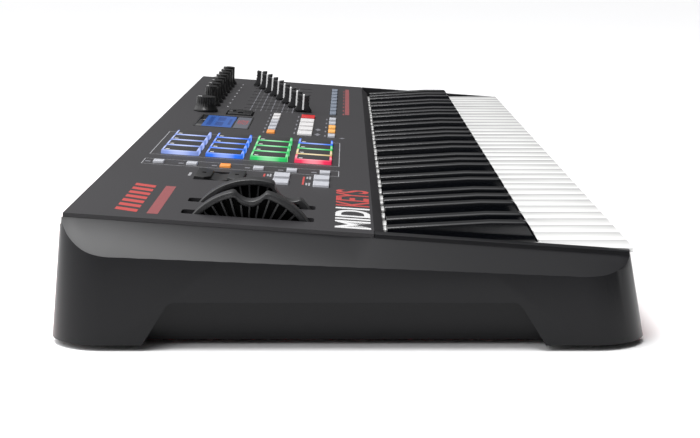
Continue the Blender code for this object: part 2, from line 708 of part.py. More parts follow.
def power_switch():
    """Rocker in the rear wall, hinged across its middle."""
    outline = [(-0.0060, -0.0088), (0.0022, -0.0088), (0.0006, 0), (0.0022, 0.0088), (-0.0060, 0.0088)]
    rocker = extruded("power_switch", outline, -0.0060, 0.0060, "X", ((0.02, 0.02, 0.02), 0.35))
    rocker.location = (SWITCH_X, 0.1530, SOCKET_Z)
    rocker.rotation_euler = (SWITCH_TILT, 0, 0)


def main():
    bottom_case()
    rear_panel()
    top_panel()
    end_cheeks()
    feet()
    keybed_chassis()
    key_contact_board()
    keys()
    wheel_bracket()
    wheel("pitch_wheel", WHEEL_NEAR_X[0], 0)
    wheel("modulation_wheel", WHEEL_NEAR_X[1], MOD_REST)
    drum_pads()
    for name, caps in BUTTONS.items():
        button_group(name, caps)
    octave_rocker()
    knobs()
    faders()
    control_board()
    display()
    connector_board()
    power_switch()


main()
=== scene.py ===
import math

import bmesh
import bpy
from mathutils import Matrix, Vector


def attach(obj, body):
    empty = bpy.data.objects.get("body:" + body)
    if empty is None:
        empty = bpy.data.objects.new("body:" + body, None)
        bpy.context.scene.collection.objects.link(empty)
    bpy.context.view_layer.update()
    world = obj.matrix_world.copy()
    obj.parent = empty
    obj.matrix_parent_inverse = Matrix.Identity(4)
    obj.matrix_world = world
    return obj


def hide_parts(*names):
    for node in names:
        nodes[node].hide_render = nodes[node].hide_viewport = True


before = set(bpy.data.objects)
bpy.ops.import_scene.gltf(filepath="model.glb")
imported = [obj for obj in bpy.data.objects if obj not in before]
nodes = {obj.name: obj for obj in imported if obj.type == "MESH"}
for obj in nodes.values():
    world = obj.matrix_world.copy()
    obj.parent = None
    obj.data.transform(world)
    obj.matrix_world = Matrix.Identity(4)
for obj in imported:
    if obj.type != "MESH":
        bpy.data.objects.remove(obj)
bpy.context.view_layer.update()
print("frame loaded")

# the control panel is one plane that rises to the rear
panel = {"midZ": 0.0593, "slope": 0.0705, "edgeX": 0.432, "front": -0.014}
panelTilt = math.atan(panel["slope"])
onPanel = Matrix.Translation((0, 0, panel["midZ"])) @ Matrix.Rotation(panelTilt, 4, "X")
keyPitch = 0.0235
keysLeft = -18 * keyPitch


class Wire:
    # a node's output that can be used in sums
    def __init__(self, shade, socket):
        self.shade = shade
        self.socket = socket

    def sum(self, operation, one, two):
        return self.shade.node("ShaderNodeMath", {"operation": operation}, {0: one, 1: two})

    def __add__(self, other):
        return self.sum("ADD", self, other)

    def __radd__(self, other):
        return self.sum("ADD", other, self)

    def __mul__(self, other):
        return self.sum("MULTIPLY", self, other)

    def __rmul__(self, other):
        return self.sum("MULTIPLY", other, self)

    def __sub__(self, other):
        return self.sum("SUBTRACT", self, other)

    def __rsub__(self, other):
        return self.sum("SUBTRACT", other, self)

    def fraction(self):
        return self.shade.node("ShaderNodeMath", {"operation": "FRACT"}, {0: self})


class Shade:
    # one material, its node tree and the few things every finish needs
    def __init__(self, name, colour, roughness, metallic=0.0, **constants):
        self.material = bpy.data.materials.new(name)
        self.material.use_nodes = True
        self.tree = self.material.node_tree
        self.surface = self.tree.nodes["Principled BSDF"]
        self.set("Base Color", (*colour, 1.0))
        self.set("Roughness", roughness)
        self.set("Metallic", metallic)
        for socket, value in constants.items():
            self.set(socket.replace("_", " "), value)

    def node(self, kind, settings=None, inputs=None, output=0):
        made = self.tree.nodes.new(kind)
        for key, value in (settings or {}).items():
            if key == "stops":
                self.fillRamp(made.color_ramp, value)
            else:
                setattr(made, key, value)
        for key, value in (inputs or {}).items():
            self.feed(made.inputs[key], value)
        return Wire(self, made.outputs[output])

    def fillRamp(self, ramp, stops):
        while len(ramp.elements) < len(stops):
            ramp.elements.new(0.5)
        for element, (place, tone) in zip(ramp.elements, stops):
            element.position = place
            element.color = tone

    def feed(self, socket, value):
        if isinstance(value, Wire):
            self.tree.links.new(value.socket, socket)
        else:
            socket.default_value = value

    def set(self, name, value):
        self.feed(self.surface.inputs[name], value)

    def spot(self, scale=(1, 1, 1), shift=(0, 0, 0)):
        here = self.node("ShaderNodeTexCoord", output="Object")
        return self.node("ShaderNodeMapping", inputs={"Vector": here, "Scale": scale, "Location": shift})

    def noise(self, scale, detail=2.0, stretch=(1, 1, 1)):
        return self.node("ShaderNodeTexNoise",
                         inputs={"Vector": self.spot(stretch), "Scale": scale, "Detail": detail})

    def blend(self, factor, one, two):
        return self.node("ShaderNodeMix", {"data_type": "RGBA"}, {0: factor, 6: one, 7: two}, output=2)

    def ramp(self, factor, stops):
        return self.node("ShaderNodeValToRGB", {"stops": stops}, {"Fac": factor})

    def bump(self, height, strength, distance):
        bumped = self.node("ShaderNodeBump",
                           inputs={"Height": height, "Strength": strength, "Distance": distance})
        self.set("Normal", bumped)


def grey(value, tint=0.0):
    return (value, value, value * (1 + tint))


def four(colour):
    return (*colour, 1.0)


def mouldedPlastic(name, colour, roughness, grain=2600, depth=0.35, spread=0.06, **constants):
    # spark-eroded plastic: a fine grain, uneven gloss and a faint drift of tone
    made = Shade(name, colour, roughness, **constants)
    fine = made.noise(grain, 2.0)
    broad = made.noise(9.0, 3.0)
    lighter = tuple(min(1.0, c * 1.12) for c in colour)
    darker = tuple(c * 0.90 for c in colour)
    made.set("Base Color", made.blend(broad, four(darker), four(lighter)))
    made.set("Roughness", fine * spread + (roughness - spread / 2))
    made.bump(fine, depth, 0.00004)
    return made


def glossPlastic(name, colour, roughness, wear=0.05):
    # polished key plastic with the softest orange peel and rubbed patches
    made = Shade(name, colour, roughness, Coat_Weight=0.35, Coat_Roughness=0.06)
    rubbed = made.noise(28.0, 4.0)
    lighter = tuple(min(1.0, c * 1.03) for c in colour)
    darker = tuple(c * 0.97 for c in colour)
    made.set("Base Color", made.blend(rubbed, four(darker), four(lighter)))
    made.set("Roughness", rubbed * wear + (roughness - wear / 2))
    made.bump(made.noise(160.0, 1.0), 0.02, 0.0002)
    return made


def litPlastic(name, colour, glow, strength, roughness=0.4):
    # translucent cap with its lamp behind the middle
    made = Shade(name, colour, roughness, Emission_Strength=strength)
    cloud = made.noise(220.0, 2.0)
    made.set("Emission Color", made.blend(cloud, four(tuple(c * 0.8 for c in glow)), four(glow)))
    made.set("Roughness", cloud * 0.1 + (roughness - 0.05))
    made.bump(made.noise(1500.0, 1.0), 0.1, 0.00003)
    return made


def metal(name, colour, roughness, stretch=(1, 1, 1)):
    made = Shade(name, colour, roughness, 1.0)
    streaks = made.noise(900.0, 3.0, stretch)
    made.set("Roughness", streaks * 0.15 + (roughness - 0.07))
    made.set("Base Color", made.blend(streaks, four(tuple(c * 0.85 for c in colour)), four(colour)))
    made.bump(streaks, 0.08, 0.00003)
    return made


def circuitBoard():
    mask = {"base": (0.02, 0.13, 0.05), "pad": (0.025, 0.16, 0.06), "track": (0.05, 0.24, 0.10), "scale": 320.0}
    made = Shade("solderMask", mask["base"], 0.35, Coat_Weight=0.3)
    tracks = made.node("ShaderNodeTexBrick",
                       inputs={"Vector": made.spot(), "Scale": mask["scale"], "Mortar Size": 0.06,
                               "Color1": four(mask["base"]), "Color2": four(mask["pad"]),
                               "Mortar": four(mask["track"])})
    made.set("Base Color", tracks)
    made.bump(made.noise(700.0, 2.0), 0.1, 0.00004)
    return made


def rubber(name, colour):
    made = Shade(name, colour, 0.75)
    speck = made.noise(1800.0, 3.0)
    made.set("Roughness", speck * 0.2 + 0.65)
    made.bump(speck, 0.3, 0.00006)
    return made


looks = {
    "panel": mouldedPlastic("panelTexture", (0.021, 0.020, 0.022), 0.50, 2400, 0.45, 0.12,
                            Specular_IOR_Level=0.35),
    "cheek": mouldedPlastic("cheekSatin", (0.0075, 0.0075, 0.0085), 0.33, 1500, 0.10, 0.05,
                            Specular_IOR_Level=0.18),
    "redCase": mouldedPlastic("redCase", (0.42, 0.018, 0.020), 0.42, 1800, 0.25),
    "black": mouldedPlastic("blackSatin", grey(0.012, 0.05), 0.42, 2200, 0.25, Specular_IOR_Level=0.3),
    "knobBlack": mouldedPlastic("knobBlack", grey(0.006, 0.05), 0.30, 2200, 0.15, Specular_IOR_Level=0.35),
    "wheelGrey": mouldedPlastic("wheelGrey", grey(0.020, 0.05), 0.34, 2200, 0.2, Specular_IOR_Level=0.45),
    "capGrey": mouldedPlastic("capGrey", grey(0.018, 0.08), 0.38, 2200, 0.2, Specular_IOR_Level=0.4),
    # near-black and low-gloss: on the wheel webs this is painted shade for the dark depth between the ribs; on
    # the octave lamps it is their own unlit colour
    "webShadeAndLedBlack": mouldedPlastic("webShadeAndLedBlack", grey(0.003), 0.6, 2200, 0.2, Specular_IOR_Level=0.1),
    "whiteKey": glossPlastic("whiteKeyGloss", (0.80, 0.80, 0.79), 0.24),
    "blackKey": glossPlastic("blackKeyGloss", (0.002, 0.0024, 0.0034), 0.13, 0.05),
    "steel": metal("chassisSteel", (0.55, 0.56, 0.58), 0.35, (1, 8, 8)),
    "nickel": metal("socketNickel", (0.70, 0.69, 0.66), 0.25),
    "screw": metal("blackScrew", (0.10, 0.10, 0.11), 0.4),
    "board": circuitBoard(),
    "rubber": rubber("footRubber", grey(0.018)),
    "padTop": rubber("padTop", grey(0.007, 0.08)),
    "printWhite": mouldedPlastic("printWhite", grey(0.55), 0.55),
    "printPale": mouldedPlastic("printPale", grey(0.27, 0.05), 0.55),
    "printGrey": mouldedPlastic("printGrey", grey(0.14, 0.12), 0.55),
    "printFaint": mouldedPlastic("printFaint", grey(0.065, 0.08), 0.55),
    "printRed": mouldedPlastic("printRed", (0.36, 0.036, 0.032), 0.55),
    "printRose": mouldedPlastic("printRose", (0.20, 0.045, 0.048), 0.55),
    "capWhite": mouldedPlastic("capLine", grey(0.85), 0.4),
    "buttonGrey": litPlastic("buttonGrey", (0.38, 0.39, 0.42), grey(0.8, 0.1), 0.10),
    "buttonDim": litPlastic("buttonDim", (0.17, 0.20, 0.25), grey(0.5, 0.2), 0.03),
    "buttonWhite": litPlastic("buttonWhite", (0.55, 0.54, 0.54), grey(0.95), 0.10),
    "buttonOrange": litPlastic("buttonOrange", (0.60, 0.22, 0.05), (1.0, 0.34, 0.06), 0.35),
    "buttonAmber": litPlastic("buttonAmber", (0.62, 0.30, 0.08), (1.0, 0.50, 0.13), 0.35),
    "buttonRed": litPlastic("buttonRed", (0.42, 0.008, 0.010), (0.9, 0.01, 0.012), 0.15),
    "glass": mouldedPlastic("windowGlass", (0.004, 0.004, 0.005), 0.08, 90, 0.01, 0.03, Coat_Weight=1.0),
}
print("finishes made")


# modelling helpers: every bmesh starts from a create_ shape or a short outline

def block(bm, low, high):
    size = Vector(high) - Vector(low)
    middle = (Vector(high) + Vector(low)) / 2
    place = Matrix.Translation(middle) @ Matrix.Diagonal((*size, 1))
    return bmesh.ops.create_cube(bm, size=1.0, matrix=place)["verts"]


def rod(bm, radius, middle, length, axis="Z", segments=24):
    turns = {"Z": (0, "X"), "X": (90, "Y"), "Y": (-90, "X")}
    degrees, about = turns[axis]
    place = Matrix.Translation(middle) @ Matrix.Rotation(math.radians(degrees), 4, about)
    bmesh.ops.create_cone(bm, cap_ends=True, segments=segments, radius1=radius, radius2=radius, depth=length,
                          matrix=place)


def edgesOf(verts):
    return {edge for vert in verts for edge in vert.link_edges}


def soften(bm, edges, width, segments=2):
    bmesh.ops.bevel(bm, geom=list(edges), offset=width, offset_type="OFFSET", segments=segments, profile=0.5,
                    affect="EDGES", material=-1, clamp_overlap=True)


def topEdges(verts, height, slack=0.00002):
    return [e for e in edgesOf(verts) if all(v.co.z > height - slack for v in e.verts)]


def sharpEdges(bm, degrees=30):
    limit = math.radians(degrees)
    return [e for e in bm.edges if len(e.link_faces) == 2 and e.calc_face_angle(0) > limit]


def slab(bm, outline, low, high, axis="Z"):
    # a flat outline given a thickness along one axis
    order = {"Z": lambda u, v: (u, v, low), "X": lambda u, v: (low, u, v), "Y": lambda u, v: (u, low, v)}[axis]
    corners = [bm.verts.new(order(u, v)) for u, v in outline]
    face = bm.faces.new(corners)
    grown = bmesh.ops.extrude_face_region(bm, geom=[face])["geom"]
    risen = [g for g in grown if isinstance(g, bmesh.types.BMVert)]
    step = {"Z": (0, 0, high - low), "X": (high - low, 0, 0), "Y": (0, high - low, 0)}[axis]
    bmesh.ops.translate(bm, vec=step, verts=risen)
    return corners + risen


def bend(centre, radius, start, end, count):
    angles = [math.radians(start + (end - start) * i / count) for i in range(count + 1)]
    return [(centre[0] + radius * math.cos(a), centre[1] + radius * math.sin(a)) for a in angles]


def finishPiece(name, bm, finish, body, place=None, sharp=32, stands=(), turned=False,
                flatOver=3e-5):
    # turned says that the faces already point outward; faces larger than flatOver stay flat
    if place is not None:
        bmesh.ops.transform(bm, matrix=place, verts=bm.verts)
    if not turned:
        bmesh.ops.recalc_face_normals(bm, faces=bm.faces)
    for face in bm.faces:
        face.smooth = face.calc_area() < flatOver
    mesh = bpy.data.meshes.new(name)
    bm.to_mesh(mesh)
    bm.free()
    mesh.set_sharp_from_angle(angle=math.radians(sharp))
    mesh.materials.append(looks[finish].material)
    piece = bpy.data.objects.new(name, mesh)
    bpy.context.scene.collection.objects.link(piece)
    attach(piece, body)
    if stands:
        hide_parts(*stands)


def dress(node, finish):
    nodes[node].data.materials.clear()
    nodes[node].data.materials.append(looks[finish].material)


def makeCamera():
    view = {"place": (-1.2972, -0.0002, 0.2125), "down": 9.59, "turn": -90.064, "lens": 86.2, "sensor": 36}
    made = bpy.data.cameras.new("camera")
    made.lens = view["lens"]
    made.sensor_width = view["sensor"]
    made.clip_start = 0.01
    holder = bpy.data.objects.new("camera", made)
    holder.location = view["place"]
    holder.rotation_euler = (math.radians(90 - view["down"]), 0, math.radians(view["turn"]))
    bpy.context.scene.collection.objects.link(holder)
    bpy.context.scene.camera = holder


def makeSky():
    # one wide softbox overhead and behind, falling off to a dim low horizon
    sky = {"aim": (0.02, 0.63, 0.775), "dim": 0.06, "middle": 0.95, "bright": 2.1, "strength": 1.15}
    world = bpy.data.worlds.new("studio")
    bpy.context.scene.world = world
    world.use_nodes = True
    tree = world.node_tree
    here = tree.nodes.new("ShaderNodeTexCoord")
    along = tree.nodes.new("ShaderNodeVectorMath")
    along.operation = "DOT_PRODUCT"
    along.inputs[1].default_value = sky["aim"]
    tree.links.new(here.outputs["Generated"], along.inputs[0])
    ramp = tree.nodes.new("ShaderNodeValToRGB")
    stops = ((0.0, sky["dim"]), (0.30, sky["dim"] * 1.6), (0.62, sky["middle"]), (0.95, sky["bright"]))
    while len(ramp.color_ramp.elements) < len(stops):
        ramp.color_ramp.elements.new(0.5)
    for element, (place, level) in zip(ramp.color_ramp.elements, stops):
        element.position = place
        element.color = (level, level, level * 1.01, 1)
    tree.links.new(along.outputs["Value"], ramp.inputs["Fac"])
    background = tree.nodes["Background"]
    tree.links.new(ramp.outputs["Color"], background.inputs["Color"])
    background.inputs["Strength"].default_value = sky["strength"]


def makeStudio():
    lamps = {
        "softbox": {"place": (-0.62, 0.42, 1.90), "aim": (-0.50, 0.12, 0.05), "size": (0.95, 0.68),
                    "power": 33},
        "stripLamp": {"place": (-1.95, 0.95, 1.30), "aim": (-0.45, 0.08, 0.05), "size": (0.6, 0.5),
                      "power": 2.5},
    }
    for name, lamp in lamps.items():
        data = bpy.data.lights.new(name, "AREA")
        data.shape = "RECTANGLE"
        data.size, data.size_y = lamp["size"]
        data.energy = lamp["power"]
        holder = bpy.data.objects.new(name, data)
        holder.location = lamp["place"]
        aim = Vector(lamp["aim"]) - Vector(lamp["place"])
        holder.rotation_euler = aim.to_track_quat("-Z", "Y").to_euler()
        bpy.context.scene.collection.objects.link(holder)
    makeSky()
    bpy.context.scene.view_settings.view_transform = "Standard"
    bm = bmesh.new()
    bmesh.ops.create_grid(bm, x_segments=2, y_segments=2, size=12)
    mesh = bpy.data.meshes.new("floor")
    bm.to_mesh(mesh)
    bm.free()
    floor = bpy.data.objects.new("floor", mesh)
    floor.location.z = -0.0001
    paint = Shade("floorPaint", grey(0.93), 0.7)
    paint.set("Roughness", paint.noise(3.0) * 0.1 + 0.65)
    mesh.materials.append(paint.material)
    bpy.context.scene.collection.objects.link(floor)


makeCamera()
makeStudio()
print("camera and studio set")


# end cheeks

cheek = {"width": 0.028, "corner": 0.030, "base": 0.1575, "top": 0.1512, "floor": 0.003, "high": 0.080,
         "creaseZ": 0.0445, "creaseSlope": 0.0425, "drop": 0.0022, "frontLean": 0.18, "edge": 0.0006,
         "recess": 0.014, "recessTop": 0.0257, "recessFoot": 0.1087, "recessBend": (0.0895, 0.006),
         "recessShift": 0.004, "gap": 0.0003, "beyond": 0.010, "stations": 23}


def cheekPlan(innerX, sideY, count=20):
    corner = cheek["corner"]
    rear = [(innerX - cheek["width"] * math.sin(angle), sideY - corner + corner * math.cos(angle))
            for angle in [math.radians(90 * i / count) for i in range(count + 1)]]
    return rear + [(x, -y) for x, y in reversed(rear)]


def cheekTool(name, bm):
    bmesh.ops.recalc_face_normals(bm, faces=bm.faces)
    mesh = bpy.data.meshes.new(name)
    bm.to_mesh(mesh)
    bm.free()
    tool = bpy.data.objects.new(name, mesh)
    bpy.context.scene.collection.objects.link(tool)
    return tool


def cheekBody(inner):
    # a prism on the cheek's plan, drawn in towards its top at both ends
    grown = cheek["high"] - cheek["floor"]
    topRise = panel["midZ"] + panel["slope"] * cheek["top"] - cheek["floor"]
    rearShare = 1 - (cheek["base"] - cheek["top"]) / topRise * grown / cheek["base"]
    frontShare = 1 - cheek["frontLean"] * grown / cheek["base"]
    bm = bmesh.new()
    verts = slab(bm, cheekPlan(inner, cheek["base"]), cheek["floor"], cheek["high"])
    upper = [v for v in verts if v.co.z > cheek["high"] / 2]
    bmesh.ops.scale(bm, vec=(1, rearShare, 1), verts=[v for v in upper if v.co.y > 0])
    bmesh.ops.scale(bm, vec=(1, frontShare, 1), verts=[v for v in upper if v.co.y < 0])
    upright = [e for e in bm.edges if abs(e.verts[0].co.z - e.verts[1].co.z) > 0.01]
    bmesh.ops.subdivide_edges(bm, edges=upright, cuts=1)
    return cheekTool("cheekBase", bm)


def shoulderTool(inner, edgeX):
    # its underside is the sloping shoulder, which rises from the crease to the panel's edge
    bm = bmesh.new()
    cube = block(bm, (inner - cheek["width"] - cheek["beyond"], -0.17, 0), (edgeX, 0.17, 0.10))
    long = [e for e in edgesOf(cube) if abs(e.verts[0].co.y - e.verts[1].co.y) > 0.1]
    bmesh.ops.subdivide_edges(bm, edges=long, cuts=cheek["stations"])
    for v in bm.verts:
        if v.co.z < 0.05:
            crease = cheek["creaseZ"] + cheek["creaseSlope"] * v.co.y
            edge = panel["midZ"] + panel["slope"] * v.co.y - cheek["drop"]
            rise = (edge - crease) / (edgeX - inner + cheek["width"])
            v.co.z = edge if v.co.x > edgeX - 0.008 else crease - rise * cheek["beyond"]
    return cheekTool("shoulderCut", bm)


def cheekTools(inner):
    edgeX = -panel["edgeX"] - cheek["gap"]
    above = bmesh.new()
    block(above, (-0.6, -0.2, 0), (-0.4, 0.2, 0.05))
    bmesh.ops.transform(above, matrix=onPanel, verts=above.verts)
    seat = bmesh.new()
    block(seat, (edgeX, panel["front"] - 0.0001, -0.0073), (-0.4, 0.2, 0.01))
    bmesh.ops.transform(seat, matrix=onPanel, verts=seat.verts)
    recess = bmesh.new()
    middleY, radius = cheek["recessBend"]
    half = [(cheek["recessFoot"], 0.0)] + bend((middleY, cheek["recessTop"] - radius), radius, 25, 90, 6)
    mirrored = [(-y + cheek["recessShift"], z) for y, z in reversed(half)]
    slab(recess, half + mirrored, -0.5, keysLeft - cheek["recess"], "X")
    return [shoulderTool(inner, edgeX), cheekTool("aboveCut", above), cheekTool("seatCut", seat),
            cheekTool("recessCut", recess)]


def makeCheeks():
    inner = keysLeft - cheek["gap"]
    base = cheekBody(inner)
    tools = cheekTools(inner)
    for tool in tools:
        cut = base.modifiers.new(tool.name, "BOOLEAN")
        cut.operation = "DIFFERENCE"
        cut.object = tool
    bpy.context.view_layer.update()
    shape = base.evaluated_get(bpy.context.evaluated_depsgraph_get()).to_mesh()
    for side, name, node in ((1, "left_cheek", "left_end_cheek"), (-1, "right_cheek", "right_end_cheek")):
        bm = bmesh.new()
        bm.from_mesh(shape)
        bmesh.ops.remove_doubles(bm, verts=bm.verts, dist=0.00001)
        bmesh.ops.dissolve_limit(bm, angle_limit=math.radians(0.6), verts=bm.verts, edges=bm.edges)
        soften(bm, sharpEdges(bm, 22), cheek["edge"], 3)
        bmesh.ops.scale(bm, vec=(side, 1, 1), verts=bm.verts)
        if side < 0:
            bmesh.ops.reverse_faces(bm, faces=bm.faces)
        finishPiece(name, bm, "cheek", "case", sharp=20, stands=(node,), turned=True,
                    flatOver=6e-4)
    for tool in tools + [base]:
        bpy.data.objects.remove(tool, do_unlink=True)


makeCheeks()
print("cheeks done")


# case

tray = {"wallY": -0.145, "wallZ": 0.02, "lean": 0.0016, "edge": 0.0005}


def makeTray():
    # the front wall is leaned back as far as the fronts of the cheeks
    bm = bmesh.new()
    bm.from_mesh(nodes["bottom_case"].data)
    bmesh.ops.remove_doubles(bm, verts=bm.verts, dist=0.000005)
    bmesh.ops.dissolve_limit(bm, angle_limit=math.radians(1.5), verts=bm.verts, edges=bm.edges)
    wallTop = [v for v in bm.verts if v.co.y < tray["wallY"] and v.co.z > tray["wallZ"]]
    bmesh.ops.translate(bm, vec=(0, tray["lean"], 0), verts=wallTop)
    soften(bm, sharpEdges(bm), tray["edge"], 2)
    finishPiece("base_tray", bm, "redCase", "case", stands=("bottom_case",), turned=True)


def makeCase():
    makeTray()
    finishes = {
        "panel": ("top_panel",), "redCase": ("rear_panel",), "rubber": ("front_foot_strip", "rear_foot_strip"),
        "steel": ("keybed_chassis", "wheel_bracket", "display_module"),
        "board": ("key_contact_board", "pad_sensor_board", "control_board", "connector_board"),
    }
    for finish, members in finishes.items():
        for node in members:
            dress(node, finish)


makeCase()
print("case done")


# keys

whiteKey = {"top": 0.0497, "plate": 0.0030, "depth": 0.012, "front": -0.1515, "slit": 0.0006,
            "notch": -0.1040, "end": 0.0115, "edge": 0.0008, "lip": 0.0012, "wallIn": 0.0011,
            "wallBack": 0.0032, "stemIn": 0.0003, "join": 0.0004}
blackKey = {"width": 0.0108, "front": -0.1030, "rear": -0.0215, "rise": 0.0107, "clear": 0.0010,
            "taper": 0.16, "edge": 0.0013, "stemHalf": 0.0046, "stemBack": 0.004}
sharps = {1: 0.0215, 3: 0.0495, 6: 0.0910, 8: 0.1175, 10: 0.1440}
whites = {0: "c", 2: "d", 4: "e", 5: "f", 7: "g", 9: "a", 11: "b"}


def whiteOutline(left, note, blacks):
    slotNumber = list(whites).index(note)
    a = left + slotNumber * keyPitch + whiteKey["slit"] / 2
    b = a + keyPitch - whiteKey["slit"]
    clear = blackKey["width"] / 2 + blackKey["clear"]
    stemA = left + blacks[note - 1] + clear if note - 1 in blacks else a
    stemB = left + blacks[note + 1] - clear if note + 1 in blacks else b
    outline = [(a, whiteKey["front"]), (b, whiteKey["front"]), (b, whiteKey["notch"])]
    outline += [(stemB, whiteKey["notch"]), (stemB, whiteKey["end"])] if stemB < b else [(b, whiteKey["end"])]
    outline += [(stemA, whiteKey["end"]), (stemA, whiteKey["notch"])] if stemA > a else [(a, whiteKey["end"])]
    if stemA > a:
        outline.append((a, whiteKey["notch"]))
    return outline


def makeWhiteKey(name, left, note, body, stands, blacks=sharps):
    top, front, notch = whiteKey["top"], whiteKey["front"], whiteKey["notch"]
    foot = top - whiteKey["depth"]
    roof = top - whiteKey["plate"] + whiteKey["join"]
    outline = whiteOutline(left, note, blacks)
    bm = bmesh.new()
    verts = slab(bm, outline, top - whiteKey["plate"], top)
    nose = [e for e in bm.edges if all(v.co.y < front + 0.00001 for v in e.verts)]
    rim = [e for e in topEdges(verts, top) if e not in nose]
    upright = [e for e in bm.edges if abs(e.verts[0].co.z - e.verts[1].co.z) > 0.001 and e not in nose]
    soften(bm, rim + upright, whiteKey["edge"], 3)
    across = [e for e in bm.edges if all(v.co.y < front + 0.00001 for v in e.verts)
              and abs(e.verts[0].co.z - e.verts[1].co.z) < 0.0001]
    soften(bm, across, whiteKey["lip"], 4)
    head = [x for x, y in outline if y < notch - 0.01]
    block(bm, (min(head) + whiteKey["wallIn"], front + whiteKey["wallBack"], foot),
          (max(head) - whiteKey["wallIn"], notch - 0.001, roof))
    stem = [x for x, y in outline if y > 0]
    block(bm, (min(stem) + whiteKey["stemIn"], notch - 0.002, foot),
          (max(stem) - whiteKey["stemIn"], whiteKey["end"], roof))
    finishPiece(name, bm, "whiteKey", body, sharp=40, stands=stands)


def blackProfile():
    # side view from the foot of the rear end round to the foot of the nose
    front, rear, top = blackKey["front"], blackKey["rear"], whiteKey["top"] + blackKey["rise"]
    foot = whiteKey["top"] - whiteKey["depth"] + 0.001
    nose = [(front + 0.0003, whiteKey["top"] + 0.0006), (front + 0.0050, top - 0.0021)]
    crown = bend((front + 0.0078, top - 0.0031), 0.0029, 150, 96, 6)
    curve = nose + crown + [(front + 0.0120, top - 0.00015), (front + 0.0260, top)]
    return [(rear, foot), (rear, top - 0.0030)] + curve[::-1] + [(front, foot)]


def makeBlackKey(name, x, body, stands):
    half, rise, low = blackKey["width"] / 2, blackKey["rise"], whiteKey["top"]
    bm = bmesh.new()
    verts = slab(bm, blackProfile(), x - half, x + half, "X")
    for v in verts:
        lean = max(0.0, v.co.z - low) / rise
        v.co.x = x + (v.co.x - x) * (1 - blackKey["taper"] * lean)
    sides = [e for e in bm.edges if abs(e.verts[0].co.x - e.verts[1].co.x) < 0.002
             and min(v.co.z for v in e.verts) > low]
    soften(bm, sides, blackKey["edge"], 5)
    stemHalf, foot = blackKey["stemHalf"], low - whiteKey["depth"] + 0.001
    block(bm, (x - stemHalf, blackKey["rear"] - blackKey["stemBack"], foot),
          (x + stemHalf, whiteKey["end"], low - 0.002))
    finishPiece(name, bm, "blackKey", body, sharp=38, stands=stands)


def makeKeys():
    combs = {"cegb": (0, 4, 7, 11), "dfa": (2, 5, 9)}
    for octave in range(5):
        left = keysLeft + octave * 7 * keyPitch
        number = str(octave + 1)
        for comb, notes in combs.items():
            body = "keys_" + comb + "_" + number
            for note in notes:
                stands = (body,) if note == notes[0] else ()
                makeWhiteKey("white_key_" + whites[note] + number, left, note, body, stands)
        body = "keys_sharp_" + number
        for i, offset in enumerate(sharps.values()):
            stands = (body,) if i == 0 else ()
            makeBlackKey("black_key_" + "cdfga"[i] + "s" + number, left + offset, body, stands)
    # the top C has no black key beside it
    makeWhiteKey("white_key_c6", keysLeft + 35 * keyPitch, 0, "key_top_c", ("key_top_c",), {})


makeKeys()
print("keys done")


# wheels

wheel = {"radius": 0.0395, "width": 0.012, "y": 0.0543, "z": 0.0382, "rim": 0.0032, "notch": 0.0086,
         "bowl": 0.0101, "bowlDepth": 0.0337, "edge": 0.0005, "hub": 0.0100, "pin": 0.0045, "web": 0.0010,
         "ribs": 21, "ribHalf": 0.00045, "ribFrom": 0.009, "ribLong": 0.0372, "ribShort": 0.0318,
         "nearX": (keysLeft + 0.015, keysLeft + 0.056), "rest": (2.6, 32)}
slot = {"corner": 0.0026, "play": 0.0008, "ends": (0.0183, 0.0903), "depth": 0.00298}


def makeWheel(name, body, nearX, rest):
    gap = math.degrees(math.asin(wheel["notch"] / wheel["radius"]))
    rear = bend((0, 0), wheel["radius"], -2, 90 - gap - 1.5, 34)
    bowl = bend((0, wheel["bowlDepth"] + wheel["bowl"]), wheel["bowl"], -36, -144, 18)
    outer = rear + bowl + [(-y, z) for y, z in reversed(rear)]
    inner = []
    for y, z in outer:
        share = 1 - wheel["rim"] / math.hypot(y, z)
        inner.append((y * share, z * share))
    half = wheel["width"] / 2
    bm = bmesh.new()
    slab(bm, outer + inner[::-1], -half, half, "X")
    soften(bm, sharpEdges(bm, 50), wheel["edge"], 3)
    for i in range(wheel["ribs"]):
        angle = math.radians(6 + (180 - 12) * i / (wheel["ribs"] - 1))
        reach = wheel["ribShort"] if abs(math.cos(angle)) < 0.25 else wheel["ribLong"]  # short under the notch
        rib = block(bm, (-half + 0.0004, wheel["ribFrom"], -wheel["ribHalf"]),
                    (half - 0.0004, reach, wheel["ribHalf"]))
        bmesh.ops.rotate(bm, cent=(0, 0, 0), matrix=Matrix.Rotation(angle, 3, "X"), verts=rib)
    rod(bm, wheel["hub"], (0, 0, 0), wheel["width"] - 0.0006, "X", 32)
    rod(bm, wheel["pin"], (0, 0, 0), wheel["width"] - 0.0001, "X", 24)
    turn = Matrix.Rotation(math.radians(rest), 4, "X")
    place = Matrix.Translation((nearX + half, wheel["y"], wheel["z"])) @ turn
    finishPiece(name, bm, "wheelGrey", body, place, stands=(body,), sharp=35)
    # the web between the ribs takes a near-black finish darker than the wheel: painted shade for the deep gap
    # between the ribs
    web = bmesh.new()
    slab(web, inner + bend((0, 0), 0.008, 190, 350, 10), -wheel["web"], wheel["web"], "X")
    finishPiece(name + "_web", web, "webShadeAndLedBlack", body, place)


def makeSlotCorners():
    # a filler in each corner, so that the two wheel slots end round
    corner = slot["corner"]
    outline = [(0, 0)] + bend((corner, corner), corner, 270, 180, 6)
    bm = bmesh.new()
    for nearX in wheel["nearX"]:
        farX = nearX + wheel["width"]
        for x, inward in ((nearX - slot["play"], 1), (farX + slot["play"], -1)):
            for y, along in zip(slot["ends"], (1, -1)):
                slab(bm, [(x + inward * u, y + along * v) for u, v in outline], -slot["depth"], -0.00001)
    finishPiece("slot_corners", bm, "panel", "case", onPanel)


for i, (name, body) in enumerate((("bend_wheel", "pitch_wheel"), ("mod_wheel", "modulation_wheel"))):
    makeWheel(name, body, wheel["nearX"][i], wheel["rest"][i])
makeSlotCorners()
print("wheels done")


# pads

